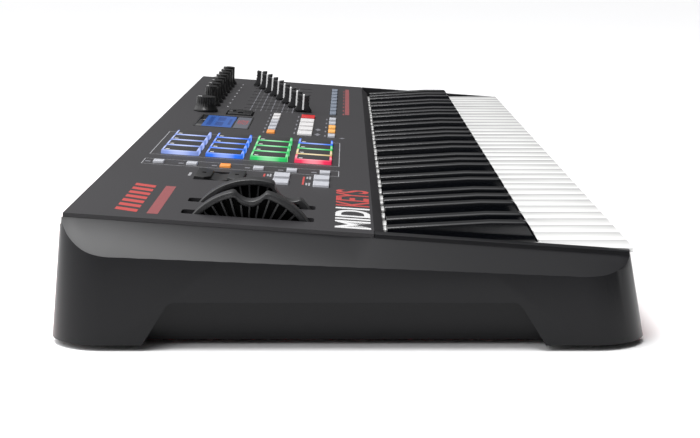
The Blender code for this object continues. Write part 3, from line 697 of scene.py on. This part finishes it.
pads = {"size": 0.025, "pitch": 0.030, "x": keysLeft + 0.3035, "y": 0.0687, "lampTop": 0.0027, "rise": 0.0029,
        "lampEdge": 0.0007, "rim": 0.0013, "topEdge": 0.0009, "foot": -0.0050, "sheetHalf": 0.062,
        "sheet": (-0.0065, -0.0045), "mark": (0.0012, 0.0042, 0.0014, 0.0040)}
padGlows = {
    "padSky": ((0.24, 0.34, 0.78), 0.95), "padBlue": ((0.012, 0.17, 0.95), 0.95),
    "padGreen": ((0.012, 0.60, 0.13), 0.95), "padCream": ((0.78, 0.60, 0.26), 0.80),
    "padRose": ((0.90, 0.020, 0.10), 1.0),
}
padFrontRow = ("padRose", "padCream", "padGreen", "padBlue")
padRows = ("padGreen", "padBlue", "padSky")


def padLight(name, glow, strength):
    # translucent silicone with the lamp under the middle of each pad
    made = Shade(name, tuple(0.02 + 0.10 * c for c in glow), 0.45, Emission_Strength=strength)
    here = made.spot((1 / pads["pitch"],) * 3, ((-pads["x"]) / pads["pitch"], -pads["y"] / pads["pitch"], 0))
    split = made.node("ShaderNodeSeparateXYZ", inputs={0: here})
    alongX = Wire(made, split.socket.node.outputs["X"])
    alongY = Wire(made, split.socket.node.outputs["Y"])
    offX = (alongX + 20.0).fraction() - 0.5  # 20 keeps the sum positive over the whole sheet
    offY = (alongY + 20.0).fraction() - 0.5
    middle = 1.0 - (offX * offX + offY * offY)
    pale = tuple(min(1.0, 0.30 + 0.85 * c) for c in glow)
    deep = tuple(c * 0.75 for c in glow)
    stops = ((0.66, four(deep)), (0.76, four(glow)), (0.835, four(pale)))
    made.set("Emission Color", made.ramp(middle, stops))
    made.bump(made.noise(1500.0, 1.0), 0.1, 0.00003)
    return made


def makePad(number, x, y, glow, marks):
    half, lampTop, rise = pads["size"] / 2, pads["lampTop"], pads["rise"]
    bm = bmesh.new()
    verts = block(bm, (x - half, y - half, pads["foot"]), (x + half, y + half, lampTop))
    soften(bm, [e for e in edgesOf(verts) if max(v.co.z for v in e.verts) > 0], pads["lampEdge"], 3)
    finishPiece("pad_lamp_" + number, bm, glow, "drum_pad_sheet", onPanel)
    bm = bmesh.new()
    half = half - pads["rim"]
    verts = block(bm, (x - half, y - half, lampTop - 0.0004), (x + half, y + half, rise))
    soften(bm, [e for e in edgesOf(verts) if max(v.co.z for v in e.verts) > lampTop], pads["topEdge"], 3)
    finishPiece("pad_top_" + number, bm, "padTop", "drum_pad_sheet", onPanel)
    high = rise + 0.00004
    left, right, back, front = pads["mark"]
    block(marks, (x - half + left, y + half - front, high - 0.0002), (x - half + right, y + half - back, high))


def makePads():
    for name, (glow, strength) in padGlows.items():
        looks[name] = padLight(name, glow, strength)
    half, (low, high) = pads["sheetHalf"], pads["sheet"]
    sheet = bmesh.new()
    block(sheet, (pads["x"] - half, pads["y"] - half, low), (pads["x"] + half, pads["y"] + half, high))
    finishPiece("pad_sheet", sheet, "rubber", "drum_pad_sheet", onPanel, stands=("drum_pad_sheet",))
    marks = bmesh.new()
    for i in range(4):
        for j in range(4):
            x = pads["x"] + (i - 1.5) * pads["pitch"]
            y = pads["y"] + (j - 1.5) * pads["pitch"]
            makePad(str(4 * j + i + 1), x, y, padFrontRow[i] if j == 0 else padRows[j - 1], marks)
    finishPiece("pad_marks", marks, "printWhite", "drum_pad_sheet", onPanel)


makePads()
print("pads done")


# buttons

groups = {
    "pad_bank_buttons": {"starts": ((0.204, 0.1229),), "step": (0, -0.0216), "count": 6,
                         "size": (0.0100, 0.0068), "lit": ("Grey", "Grey", "Orange", "Grey", "Grey", "Grey")},
    "repeat_buttons": {"starts": ((0.178, 0.0418), (0.151, 0.0418)), "step": (0, -0.0251), "count": 2,
                       "size": (0.0170, 0.0100), "lit": ("Grey", "Grey")},
    "function_buttons": {"starts": ((0.408, 0.0595),), "step": (0.0244, 0), "count": 6,
                         "size": (0.0130, 0.0060), "lit": ("Orange", "Grey", "Grey", "Grey", "White", "White")},
    "transport_buttons": {"starts": ((0.414, 0.0335),), "step": (0.0290, 0), "count": 5,
                          "size": (0.0200, 0.0112), "lit": ("White", "White", "White", "White", "Red")},
    "bank_buttons": {"starts": ((0.409, 0.0128),), "step": (0.0290, 0), "count": 5, "size": (0.0140, 0.0055),
                     "lit": ("Grey", "Amber", "Amber", "Grey", "Grey")},
    "fader_switches": {"starts": ((0.575, 0.0130),), "step": (0.0305, 0), "count": 8, "size": (0.0190, 0.0055),
                       "lit": ("Dim",) * 8},
}
button = {"rise": 0.0015, "foot": -0.0054, "edge": 0.0005, "crown": 0.0002, "crownIn": 0.0008,
          "web": (-0.0060, -0.0048), "webOver": 0.001}


def makeButton(name, body, centre, size, finish):
    bm = bmesh.new()
    (x, y), (w, d) = centre, size
    verts = block(bm, (x - w / 2, y - d / 2, button["foot"]), (x + w / 2, y + d / 2, button["rise"]))
    rim = [e for e in edgesOf(verts) if max(v.co.z for v in e.verts) > 0]
    soften(bm, rim, button["edge"], 3)
    lid = [f for f in bm.faces if f.normal.z > 0.9 or all(v.co.z > button["rise"] - 0.00001 for v in f.verts)]
    bmesh.ops.inset_region(bm, faces=lid, thickness=button["crownIn"], depth=-button["crown"])
    finishPiece(name, bm, finish, body, onPanel)


def makeButtons():
    for body, group in groups.items():
        stepX, stepY = group["step"]
        places = []
        for x, y in group["starts"]:
            places += [(keysLeft + x + stepX * i, y + stepY * i) for i in range(group["count"])]
        w, d = group["size"]
        xs, ys = [x for x, y in places], [y for x, y in places]
        overX, overY = w / 2 + button["webOver"], d / 2 + button["webOver"]
        low, high = button["web"]
        bm = bmesh.new()
        block(bm, (min(xs) - overX, min(ys) - overY, low), (max(xs) + overX, max(ys) + overY, high))
        web = body.replace("_buttons", "").replace("_switches", "") + "_web"
        finishPiece(web, bm, "rubber", body, onPanel, stands=(body,))
        for i, place in enumerate(places):
            finish = "button" + group["lit"][i % group["count"]]
            makeButton(body[:-1] + "_" + str(i + 1), body, place, group["size"], finish)


cursor = {"x": keysLeft + 0.528, "y": 0.0905, "halfX": 0.017, "halfY": 0.011, "foot": -0.0060, "rise": 0.0014,
          "draw": 0.0012, "edge": 0.0005, "reach": (0.0095, 0.0062), "arrow": (0.0038, 0.0026),
          "arrowHigh": 0.0022}


def makeCursor():
    x, y, rise, draw = cursor["x"], cursor["y"], cursor["rise"], cursor["draw"]
    bm = bmesh.new()
    verts = block(bm, (x - cursor["halfX"], y - cursor["halfY"], cursor["foot"]),
                  (x + cursor["halfX"], y + cursor["halfY"], rise))
    for v in verts:
        if v.co.z > 0:
            v.co.x += draw if v.co.x < x else -draw
            v.co.y += draw if v.co.y < y else -draw
    soften(bm, topEdges(verts, rise), cursor["edge"], 3)
    finishPiece("cursor_pad", bm, "knobBlack", "cursor_buttons", onPanel, stands=("cursor_buttons",))
    arrows = bmesh.new()
    for i in range(4):
        turn = Matrix.Rotation(math.pi / 2 * i, 4, "Z")
        out = Matrix.Translation((cursor["reach"][i % 2], 0, 0))
        place = Matrix.Translation((x, y, rise - 0.0001)) @ turn @ out
        bmesh.ops.create_cone(arrows, cap_ends=True, segments=3, radius1=cursor["arrow"][0],
                              radius2=cursor["arrow"][1], depth=cursor["arrowHigh"], matrix=place)
    finishPiece("cursor_arrows", arrows, "wheelGrey", "cursor_buttons", onPanel)


rocker = {"x": keysLeft + 0.1595, "y": 0.0795, "wide": 0.037, "deep": 0.030, "foot": -0.0040, "capHigh": 0.0021,
          "capLow": 0.0016, "capDeep": 0.010, "chamfer": (0.006, 0.004), "edge": 0.0005, "bridgeIn": 0.005,
          "bridgeSide": 0.004, "dip": 0.0008, "lamp": (0.0013, 0.0010), "lampIn": 0.0048}


def makeRocker():
    halfX, halfY, foot = rocker["wide"] / 2, rocker["deep"] / 2, rocker["foot"]
    bm = bmesh.new()
    end = halfY - rocker["bridgeIn"]
    dip = [(rocker["deep"] * (i / 12 - 0.5) * 0.7, rocker["dip"] * (abs(i - 6) / 3 - 1)) for i in range(13)]
    side = halfX - rocker["bridgeSide"]
    slab(bm, [(-end, foot)] + dip + [(end, foot)], -side, side, "X")
    cutX, cutY = rocker["chamfer"]
    for way in (-1, 1):
        far = way * halfY
        near = way * (halfY - rocker["capDeep"])
        outline = [(-halfX, far), (halfX, far), (halfX, near + way * cutY), (halfX - cutX, near),
                   (-halfX + cutX, near), (-halfX, near + way * cutY)]
        verts = slab(bm, outline if way < 0 else outline[::-1], foot, rocker["capHigh"])
        for v in verts:
            if v.co.z > 0 and abs(v.co.y) < halfY - 0.001:
                v.co.z = rocker["capLow"]
        soften(bm, [e for e in edgesOf(verts) if min(v.co.z for v in e.verts) > 0], rocker["edge"], 3)
    finishPiece("octave_keys", bm, "black", "octave_rocker",
                onPanel @ Matrix.Translation((rocker["x"], rocker["y"], 0)), stands=("octave_rocker",))
    radius, high = rocker["lamp"]
    lamps = bmesh.new()
    for way in (-1, 1):
        place = (rocker["x"], rocker["y"] + way * (halfY - rocker["lampIn"]), rocker["capLow"])
        rod(lamps, radius, place, high, "Z", 16)
    finishPiece("octave_leds", lamps, "webShadeAndLedBlack", "octave_rocker", onPanel)


makeButtons()
makeCursor()
makeRocker()
print("buttons done")


# knobs, dial and faders

strips = {"first": keysLeft + 0.575, "pitch": 0.0305, "count": 8, "knobY": 0.119}
knob = {"top": 0.0056, "skirt": 0.0084, "height": 0.0170, "flutes": 15}
dial = {"top": 0.0080, "skirt": 0.0102, "height": 0.0125, "flutes": 24, "x": keysLeft + 0.527, "y": 0.1195}
flute = {"from": 0.0045, "below": 0.0005, "depth": 0.0005, "share": (0.35, 0.65)}
fader = {"front": 0.0392, "step": 0.0067, "halfX": 0.0048, "high": 0.0152, "edge": 0.0004, "line": 0.0007,
         "lineFoot": 0.0022, "stem": ((-0.0009, -0.003, -0.0090), (0.0009, 0.003, 0.0020))}


def lathe(bm, profile, steps):
    before = set(bm.verts)
    chain = [bm.verts.new((r, 0, z)) for r, z in profile]
    edges = [bm.edges.new(pair) for pair in zip(chain, chain[1:])]
    bmesh.ops.spin(bm, geom=chain + edges, cent=(0, 0, 0), axis=(0, 0, 1), dvec=(0, 0, 0), angle=math.tau,
                   steps=steps, use_merge=True)
    made = [v for v in bm.verts if v not in before]
    bmesh.ops.remove_doubles(bm, verts=made, dist=0.000002)
    return [v for v in bm.verts if v not in before]


def knobProfile(size):
    top, skirt, high = size["top"], size["skirt"], size["height"]
    crown = [(0, high - 0.0004), (top * 0.55, high - 0.0004), (top - 0.0007, high),
             (top - 0.0002, high - 0.0002), (top, high - 0.0008)]
    side = [(top + 0.0001, high * 0.66), (top + 0.0003, 0.0050), (top + 0.0010, 0.0036)]
    foot = [(skirt - 0.0004, 0.0020), (skirt, 0.0015), (skirt, 0.0005), (0.0034, 0.0005)]
    return crown + side + foot + [(0.0034, high - 0.003), (0, high - 0.003)]


def makeKnob(name, body, x, y, size):
    top, high = size["top"], size["height"]
    begin, end = flute["share"]
    bm = bmesh.new()
    for v in lathe(bm, knobProfile(size), size["flutes"] * 4):
        reach = math.hypot(v.co.x, v.co.y)
        turn = (math.atan2(v.co.y, v.co.x) / math.tau * size["flutes"]) % 1
        level = flute["from"] < v.co.z < high - flute["below"]
        if level and reach > flute["from"] and begin < turn < end:
            v.co.x *= 1 - flute["depth"] / reach
            v.co.y *= 1 - flute["depth"] / reach
    place = onPanel @ Matrix.Translation((x, y, 0))
    finishPiece(name, bm, "knobBlack", body, place, stands=(body,), sharp=45)
    line = bmesh.new()
    block(line, (-0.0004, top * 0.45, high - 0.0006), (0.0004, top - 0.0006, high - 0.00002))
    finishPiece(name + "_pointer", line, "capWhite", body, place)


def makeKnobs():
    for i in range(strips["count"]):
        body = "knob_" + str(i + 1)
        makeKnob("channel_" + body, body, strips["first"] + strips["pitch"] * i, strips["knobY"], knob)
    makeKnob("data_dial", "value_dial", dial["x"], dial["y"], dial)


def makeFader(i):
    # the cap's half side view: a flared foot, a waist and three finger steps
    flare = [(0.0075, 0.0009), (0.0075, 0.0020), (0.0068, 0.0030), (0.0056, 0.0046), (0.0052, 0.0060)]
    steps = [(0.0051, 0.0085), (0.0045, 0.0088), (0.0045, 0.0098), (0.0050, 0.0101), (0.0050, 0.0112),
             (0.0044, 0.0115), (0.0044, 0.0124), (0.0049, 0.0127), (0.0049, 0.0147), (0.0045, fader["high"])]
    side = flare + steps + [(0.0016, 0.0146)]
    body = "fader_cap_" + str(i + 1)
    half = fader["halfX"]
    bm = bmesh.new()
    slab(bm, side + [(-y, z) for y, z in reversed(side)], -half, half, "X")
    ends = [e for e in bm.edges if abs(abs(e.verts[0].co.x + e.verts[1].co.x) / 2 - half) < 1e-6]
    soften(bm, ends, fader["edge"], 2)
    block(bm, *fader["stem"])
    x, y = strips["first"] + strips["pitch"] * i, fader["front"] + fader["step"] * i
    place = onPanel @ Matrix.Translation((x, y, 0))
    number = str(i + 1)
    finishPiece("fader_" + number, bm, "capGrey", body, place, stands=(body,),
                sharp=40)
    line = bmesh.new()
    out = half + 0.00005
    block(line, (-out, -fader["line"], fader["lineFoot"]), (out, fader["line"], fader["high"] - 0.0004))
    finishPiece("fader_line_" + number, line, "capWhite", body, place)


makeKnobs()
for i in range(strips["count"]):
    makeFader(i)
print("knobs and faders done")


# display

display = {"x": keysLeft + 0.4585, "y": 0.0988, "wide": 0.083, "deep": 0.0425, "glass": (-0.0030, -0.0001),
           "rim": 0.0010, "rimLow": -0.0005, "rimHigh": 0.00035, "high": 0.00003}
screens = {"screenBlue": (-0.0385, 0.0385, -0.0075, 0.0155), "screenGrey": (-0.0385, 0.0385, -0.0200, -0.0090)}
screenMarks = ((-0.030, 0.030, 0.009, 0.0125), (-0.030, -0.004, 0.000, 0.006), (0.004, 0.030, 0.000, 0.006),
               (-0.020, 0.020, -0.0055, -0.0035))
digit = {"shown": "1208", "from": -0.012, "pitch": 0.0085, "y": -0.0145, "halfWide": 0.0024, "halfHigh": 0.0036,
         "long": 0.0020, "tall": 0.0015, "thin": 0.00045}
segments = {"1": "bc", "2": "abged", "0": "abcdef", "8": "abcdefg"}
bars = {"a": (0, 1, True), "d": (0, -1, True), "g": (0, 0, True), "b": (1, 0.5, False), "c": (1, -0.5, False),
        "f": (-1, 0.5, False), "e": (-1, -0.5, False)}

looks["screenBlue"] = litPlastic("screenBlue", (0.02, 0.05, 0.16), (0.05, 0.15, 0.52), 0.62, 0.15)
looks["screenGrey"] = litPlastic("screenGrey", (0.05, 0.05, 0.06), (0.16, 0.17, 0.20), 0.6, 0.15)
looks["screenDark"] = litPlastic("screenDark", (0.015, 0.035, 0.12), (0.03, 0.09, 0.34), 0.6, 0.15)
looks["screenRed"] = litPlastic("screenRed", (0.20, 0.03, 0.03), (0.45, 0.06, 0.06), 0.6, 0.3)


def makeGlass():
    x, y, w, d = display["x"], display["y"], display["wide"] / 2, display["deep"] / 2
    low, high = display["glass"]
    bm = bmesh.new()
    verts = block(bm, (x - w, y - d, low), (x + w, y + d, high))
    soften(bm, topEdges(verts, high), 0.0004, 2)
    finishPiece("display_glass", bm, "glass", "case", onPanel, stands=("display_window",))
    thick, high = display["rim"], display["rimHigh"]
    rim = bmesh.new()
    for x0, x1, y0, y1 in ((-w, w, -d, -d + thick), (-w, w, d - thick, d), (-w, -w + thick, -d, d),
                           (w - thick, w, -d, d)):
        verts = block(rim, (x + x0, y + y0, display["rimLow"]), (x + x1, y + y1, high))
        soften(rim, topEdges(verts, high), 0.0002, 2)
    finishPiece("display_rim", rim, "wheelGrey", "case", onPanel)


def makeScreens():
    x, y, high = display["x"], display["y"], display["high"]
    for finish, (x0, x1, y0, y1) in screens.items():
        lit = bmesh.new()
        block(lit, (x + x0, y + y0, -0.0004), (x + x1, y + y1, high))
        name = finish.replace("screen", "screen_").lower()
        finishPiece(name, lit, finish, "case", onPanel)
    shapes = bmesh.new()
    for x0, x1, y0, y1 in screenMarks:
        block(shapes, (x + x0, y + y0, -0.0002), (x + x1, y + y1, high + 0.00004))
    finishPiece("screen_marks", shapes, "screenDark", "case", onPanel)
    digits = bmesh.new()
    for k, figure in enumerate(digit["shown"]):
        for bar in segments[figure]:
            sideways, upward, flat = bars[bar]
            midX = x + digit["from"] + digit["pitch"] * k + sideways * digit["halfWide"]
            midY = y + digit["y"] + upward * digit["halfHigh"]
            halfX, halfY = (digit["long"], digit["thin"]) if flat else (digit["thin"], digit["tall"])
            block(digits, (midX - halfX, midY - halfY, 0), (midX + halfX, midY + halfY, high + 0.00005))
    finishPiece("screen_digits", digits, "screenRed", "case", onPanel)


makeGlass()
makeScreens()
print("display done")


# printed marks on the panel

ink = {"low": 0.00002, "high": 0.00008, "line": 0.00055}
frames = ((0.240, 0.369, 0.006, 0.133), (0.193, 0.218, 0.006, 0.133))  # round the pads and the bank buttons
scale = {"first": 0.084, "step": 0.0045, "count": 9, "gap": 0.0040, "firstCut": 0.009, "thick": 0.0007,
         "thin": 0.0006, "knobMark": (0.1043, 0.007, 0.0012), "switchMark": (0.0040, 0.012, 0.0012)}
repeatMarks = {"xs": (0.178, 0.151), "ys": (0.0418, 0.0167), "first": (0.0073, 0.012),
               "second": (0.0090, 0.009), "deep": 0.0011}
diamonds = ((0.400, 0.0045, 1.5), (0.414, 0.0236, 3.5), (0.446, 0.0236, 3.5))  # x, y and how long
motif = {"count": 7, "x": 0.008, "pitch": 0.0145, "wide": 0.0085, "slant": 0.0055, "y": (0.1130, 0.1255)}
# every plain bar of ink: finish, x, y, width and depth
inkBars = (
    ("rose", 0.693, 0.0008, 0.242, 0.0038), ("rose", 0.0555, 0.1045, 0.099, 0.0060),
    ("red", 0.177, 0.0530, 0.012, 0.0012), ("red", 0.1645, 0.0279, 0.034, 0.0012),
    ("pale", 0.1595, 0.0985, 0.014, 0.0016),
)
# rows of labels: finish, first x, y, step in x and y, count, width and depth
inkRows = (
    ("dim", 0.408, 0.0650, 0.0244, 0, 6, 0.010, 0.0011), ("dim", 0.414, 0.0415, 0.0290, 0, 5, 0.012, 0.0011),
    ("dim", 0.409, 0.0177, 0.0290, 0, 5, 0.010, 0.0011), ("dim", 0.2045, 0.1301, 0, -0.0216, 6, 0.0042, 0.0034),
)
words = {"high": 0.0190, "y": -0.0120, "bold": 0.00045, "capShare": 0.70, "shown": (
    ("word_midi", "MIDI", "printWhite", 0.003, 0.068), ("word_keys", "KEYS", "printRed", 0.077, 0.062))}


def dash(bm, x, y, w, d):
    block(bm, (x - w / 2, y - d / 2, ink["low"]), (x + w / 2, y + d / 2, ink["high"]))


def outlineBox(bm, x0, x1, y0, y1):
    for y in (y0, y1):
        dash(bm, (x0 + x1) / 2, y, x1 - x0, ink["line"])
    for x in (x0, x1):
        dash(bm, x, (y0 + y1) / 2, ink["line"], y1 - y0)


def lettering(name, text, finish, x, wide):
    # the built-in face, made bold and stretched to its width
    curve = bpy.data.curves.new(name, "FONT")
    curve.body = text
    curve.size = words["high"] / words["capShare"]
    curve.extrude = 0.00003
    curve.offset = words["bold"]
    holder = bpy.data.objects.new(name, curve)
    bpy.context.scene.collection.objects.link(holder)
    bpy.context.view_layer.update()
    shape = holder.evaluated_get(bpy.context.evaluated_depsgraph_get()).to_mesh()
    bm = bmesh.new()
    bm.from_mesh(shape)
    bpy.data.objects.remove(holder, do_unlink=True)
    left = min(v.co.x for v in bm.verts)
    right = max(v.co.x for v in bm.verts)
    bmesh.ops.translate(bm, vec=(-left, 0, 0.00005), verts=bm.verts)
    bmesh.ops.scale(bm, vec=(wide / (right - left), 1, 1), verts=bm.verts)
    finishPiece(name, bm, finish, "case", onPanel @ Matrix.Translation((keysLeft + x, words["y"], 0)))


def printStrips(inks):
    # fader scales, a mark under each knob and one at each switch
    knobMark, switchMark = scale["knobMark"], scale["switchMark"]
    for i in range(strips["count"]):
        x = strips["first"] + strips["pitch"] * i
        cut = scale["firstCut"] if i == 0 else 0
        dash(inks["pale"], x, *knobMark)
        for j in range(scale["count"]):
            colour, deep = ("dim", scale["thick"]) if j % 2 == 0 else ("faint", scale["thin"])
            dash(inks[colour], x - (strips["pitch"] - cut) / 2, scale["first"] - scale["step"] * j,
                 strips["pitch"] - scale["gap"] - cut, deep)
        dash(inks["rose"], x, *switchMark)


def makePrint():
    inks = {name: bmesh.new() for name in ("pale", "dim", "faint", "red", "rose")}
    for x0, x1, y0, y1 in frames:
        outlineBox(inks["pale"], keysLeft + x0, keysLeft + x1, y0, y1)
    printStrips(inks)
    for finish, x, y, w, d in inkBars:
        dash(inks[finish], keysLeft + x, y, w, d)
    for finish, x, y, stepX, stepY, count, w, d in inkRows:
        for i in range(count):
            dash(inks[finish], keysLeft + x + stepX * i, y + stepY * i, w, d)
    for x in repeatMarks["xs"]:
        for y in repeatMarks["ys"]:
            for above, wide in (repeatMarks["first"], repeatMarks["second"]):
                dash(inks["pale"], keysLeft + x, y + above, wide, repeatMarks["deep"])
    for x, y, long in diamonds:
        place = Matrix.Translation((keysLeft + x, y, 0.00005)) @ Matrix.Diagonal((long, 1, 1, 1))
        bmesh.ops.create_cone(inks["dim"], cap_ends=True, segments=4, radius1=0.0024, radius2=0.0024,
                              depth=ink["high"] - ink["low"], matrix=place)
    low, high = motif["y"]
    for i in range(motif["count"]):
        x = keysLeft + motif["x"] + motif["pitch"] * i
        right, slant = x + motif["wide"], motif["slant"]
        outline = [(x, low), (right, low), (right + slant, high), (x + slant, high)]
        slab(inks["red"], outline, ink["low"], ink["high"])
    finishes = {"pale": ("pale_print", "printPale"), "dim": ("grey_print", "printGrey"),
                "faint": ("faint_print", "printFaint"), "red": ("red_print", "printRed"),
                "rose": ("rose_print", "printRose")}
    for colour, (name, finish) in finishes.items():
        finishPiece(name, inks[colour], finish, "case", onPanel)
    for name, text, finish, x, wide in words["shown"]:
        lettering(name, text, finish, x, wide)


makePrint()
print("printed marks done")


# rear sockets and fixings

rear = {"z": 0.030, "face": 0.1512,
        "jacks": ((0.330, 0.0033), (0.180, 0.0034), (0.155, 0.0034), (0.130, 0.0034)), "flange": 0.0056,
        "flangeHigh": 0.0014, "flangeFoot": -0.0008, "fivePin": (0.250, 0.222),
        "pinRing": 0.0042, "pin": (0.0006, 0.1445, 0.006), "powerPin": (0.330, 0.1450, 0.0010, 0.008),
        "tongue": ((0.2868, 0.1425, 0.0302), (0.2932, 0.1490, 0.0320)), "screwZ": 0.018,
        "screws": (-0.40, -0.27, -0.13, 0.0, 0.09, 0.40), "screwSize": (0.0028, 0.0012)}
base = {"xs": (-0.39, -0.20, 0.0, 0.20, 0.39), "ys": (-0.14, 0.005, 0.14), "z": 0.0026,
        "screwSize": (0.0032, 0.0010)}


def jackProfile(bore):
    flange, high, foot = rear["flange"], rear["flangeHigh"], rear["flangeFoot"]
    return [(bore, foot), (bore, high - 0.0004), (bore + 0.0006, high), (flange - 0.0004, high),
            (flange, high - 0.0004), (flange, foot), (bore, foot)]


def makeRear():
    z, face = rear["z"], rear["face"]
    rings = bmesh.new()
    for x, bore in rear["jacks"]:
        ring = lathe(rings, jackProfile(bore), 32)
        place = Matrix.Translation((x, face, z)) @ Matrix.Rotation(-math.pi / 2, 4, "X")
        bmesh.ops.transform(rings, matrix=place, verts=ring)
    finishPiece("jack_rings", rings, "nickel", "case")
    radius, pinY, long = rear["pin"]
    pins = bmesh.new()
    for x in rear["fivePin"]:
        for i in range(5):
            angle = math.radians(45 * i)
            pinX = x + rear["pinRing"] * math.cos(angle)
            rod(pins, radius, (pinX, pinY, z + rear["pinRing"] * math.sin(angle)), long, "Y", 10)
    x, pinY, radius, long = rear["powerPin"]
    rod(pins, radius, (x, pinY, z), long, "Y", 16)
    block(pins, *rear["tongue"])
    finishPiece("socket_pins", pins, "nickel", "case")
    radius, high = rear["screwSize"]
    screws = bmesh.new()
    for x in rear["screws"]:
        rod(screws, radius, (x, face + 0.0004, rear["screwZ"]), high, "Y", 20)
    finishPiece("rear_screws", screws, "screw", "case")
    radius, high = base["screwSize"]
    below = bmesh.new()
    for x in base["xs"]:
        for y in base["ys"]:
            rod(below, radius, (x, y, base["z"]), high, "Z", 20)
    finishPiece("base_screws", below, "screw", "case")
    dress("power_switch", "knobBlack")


makeRear()
print("rear done")
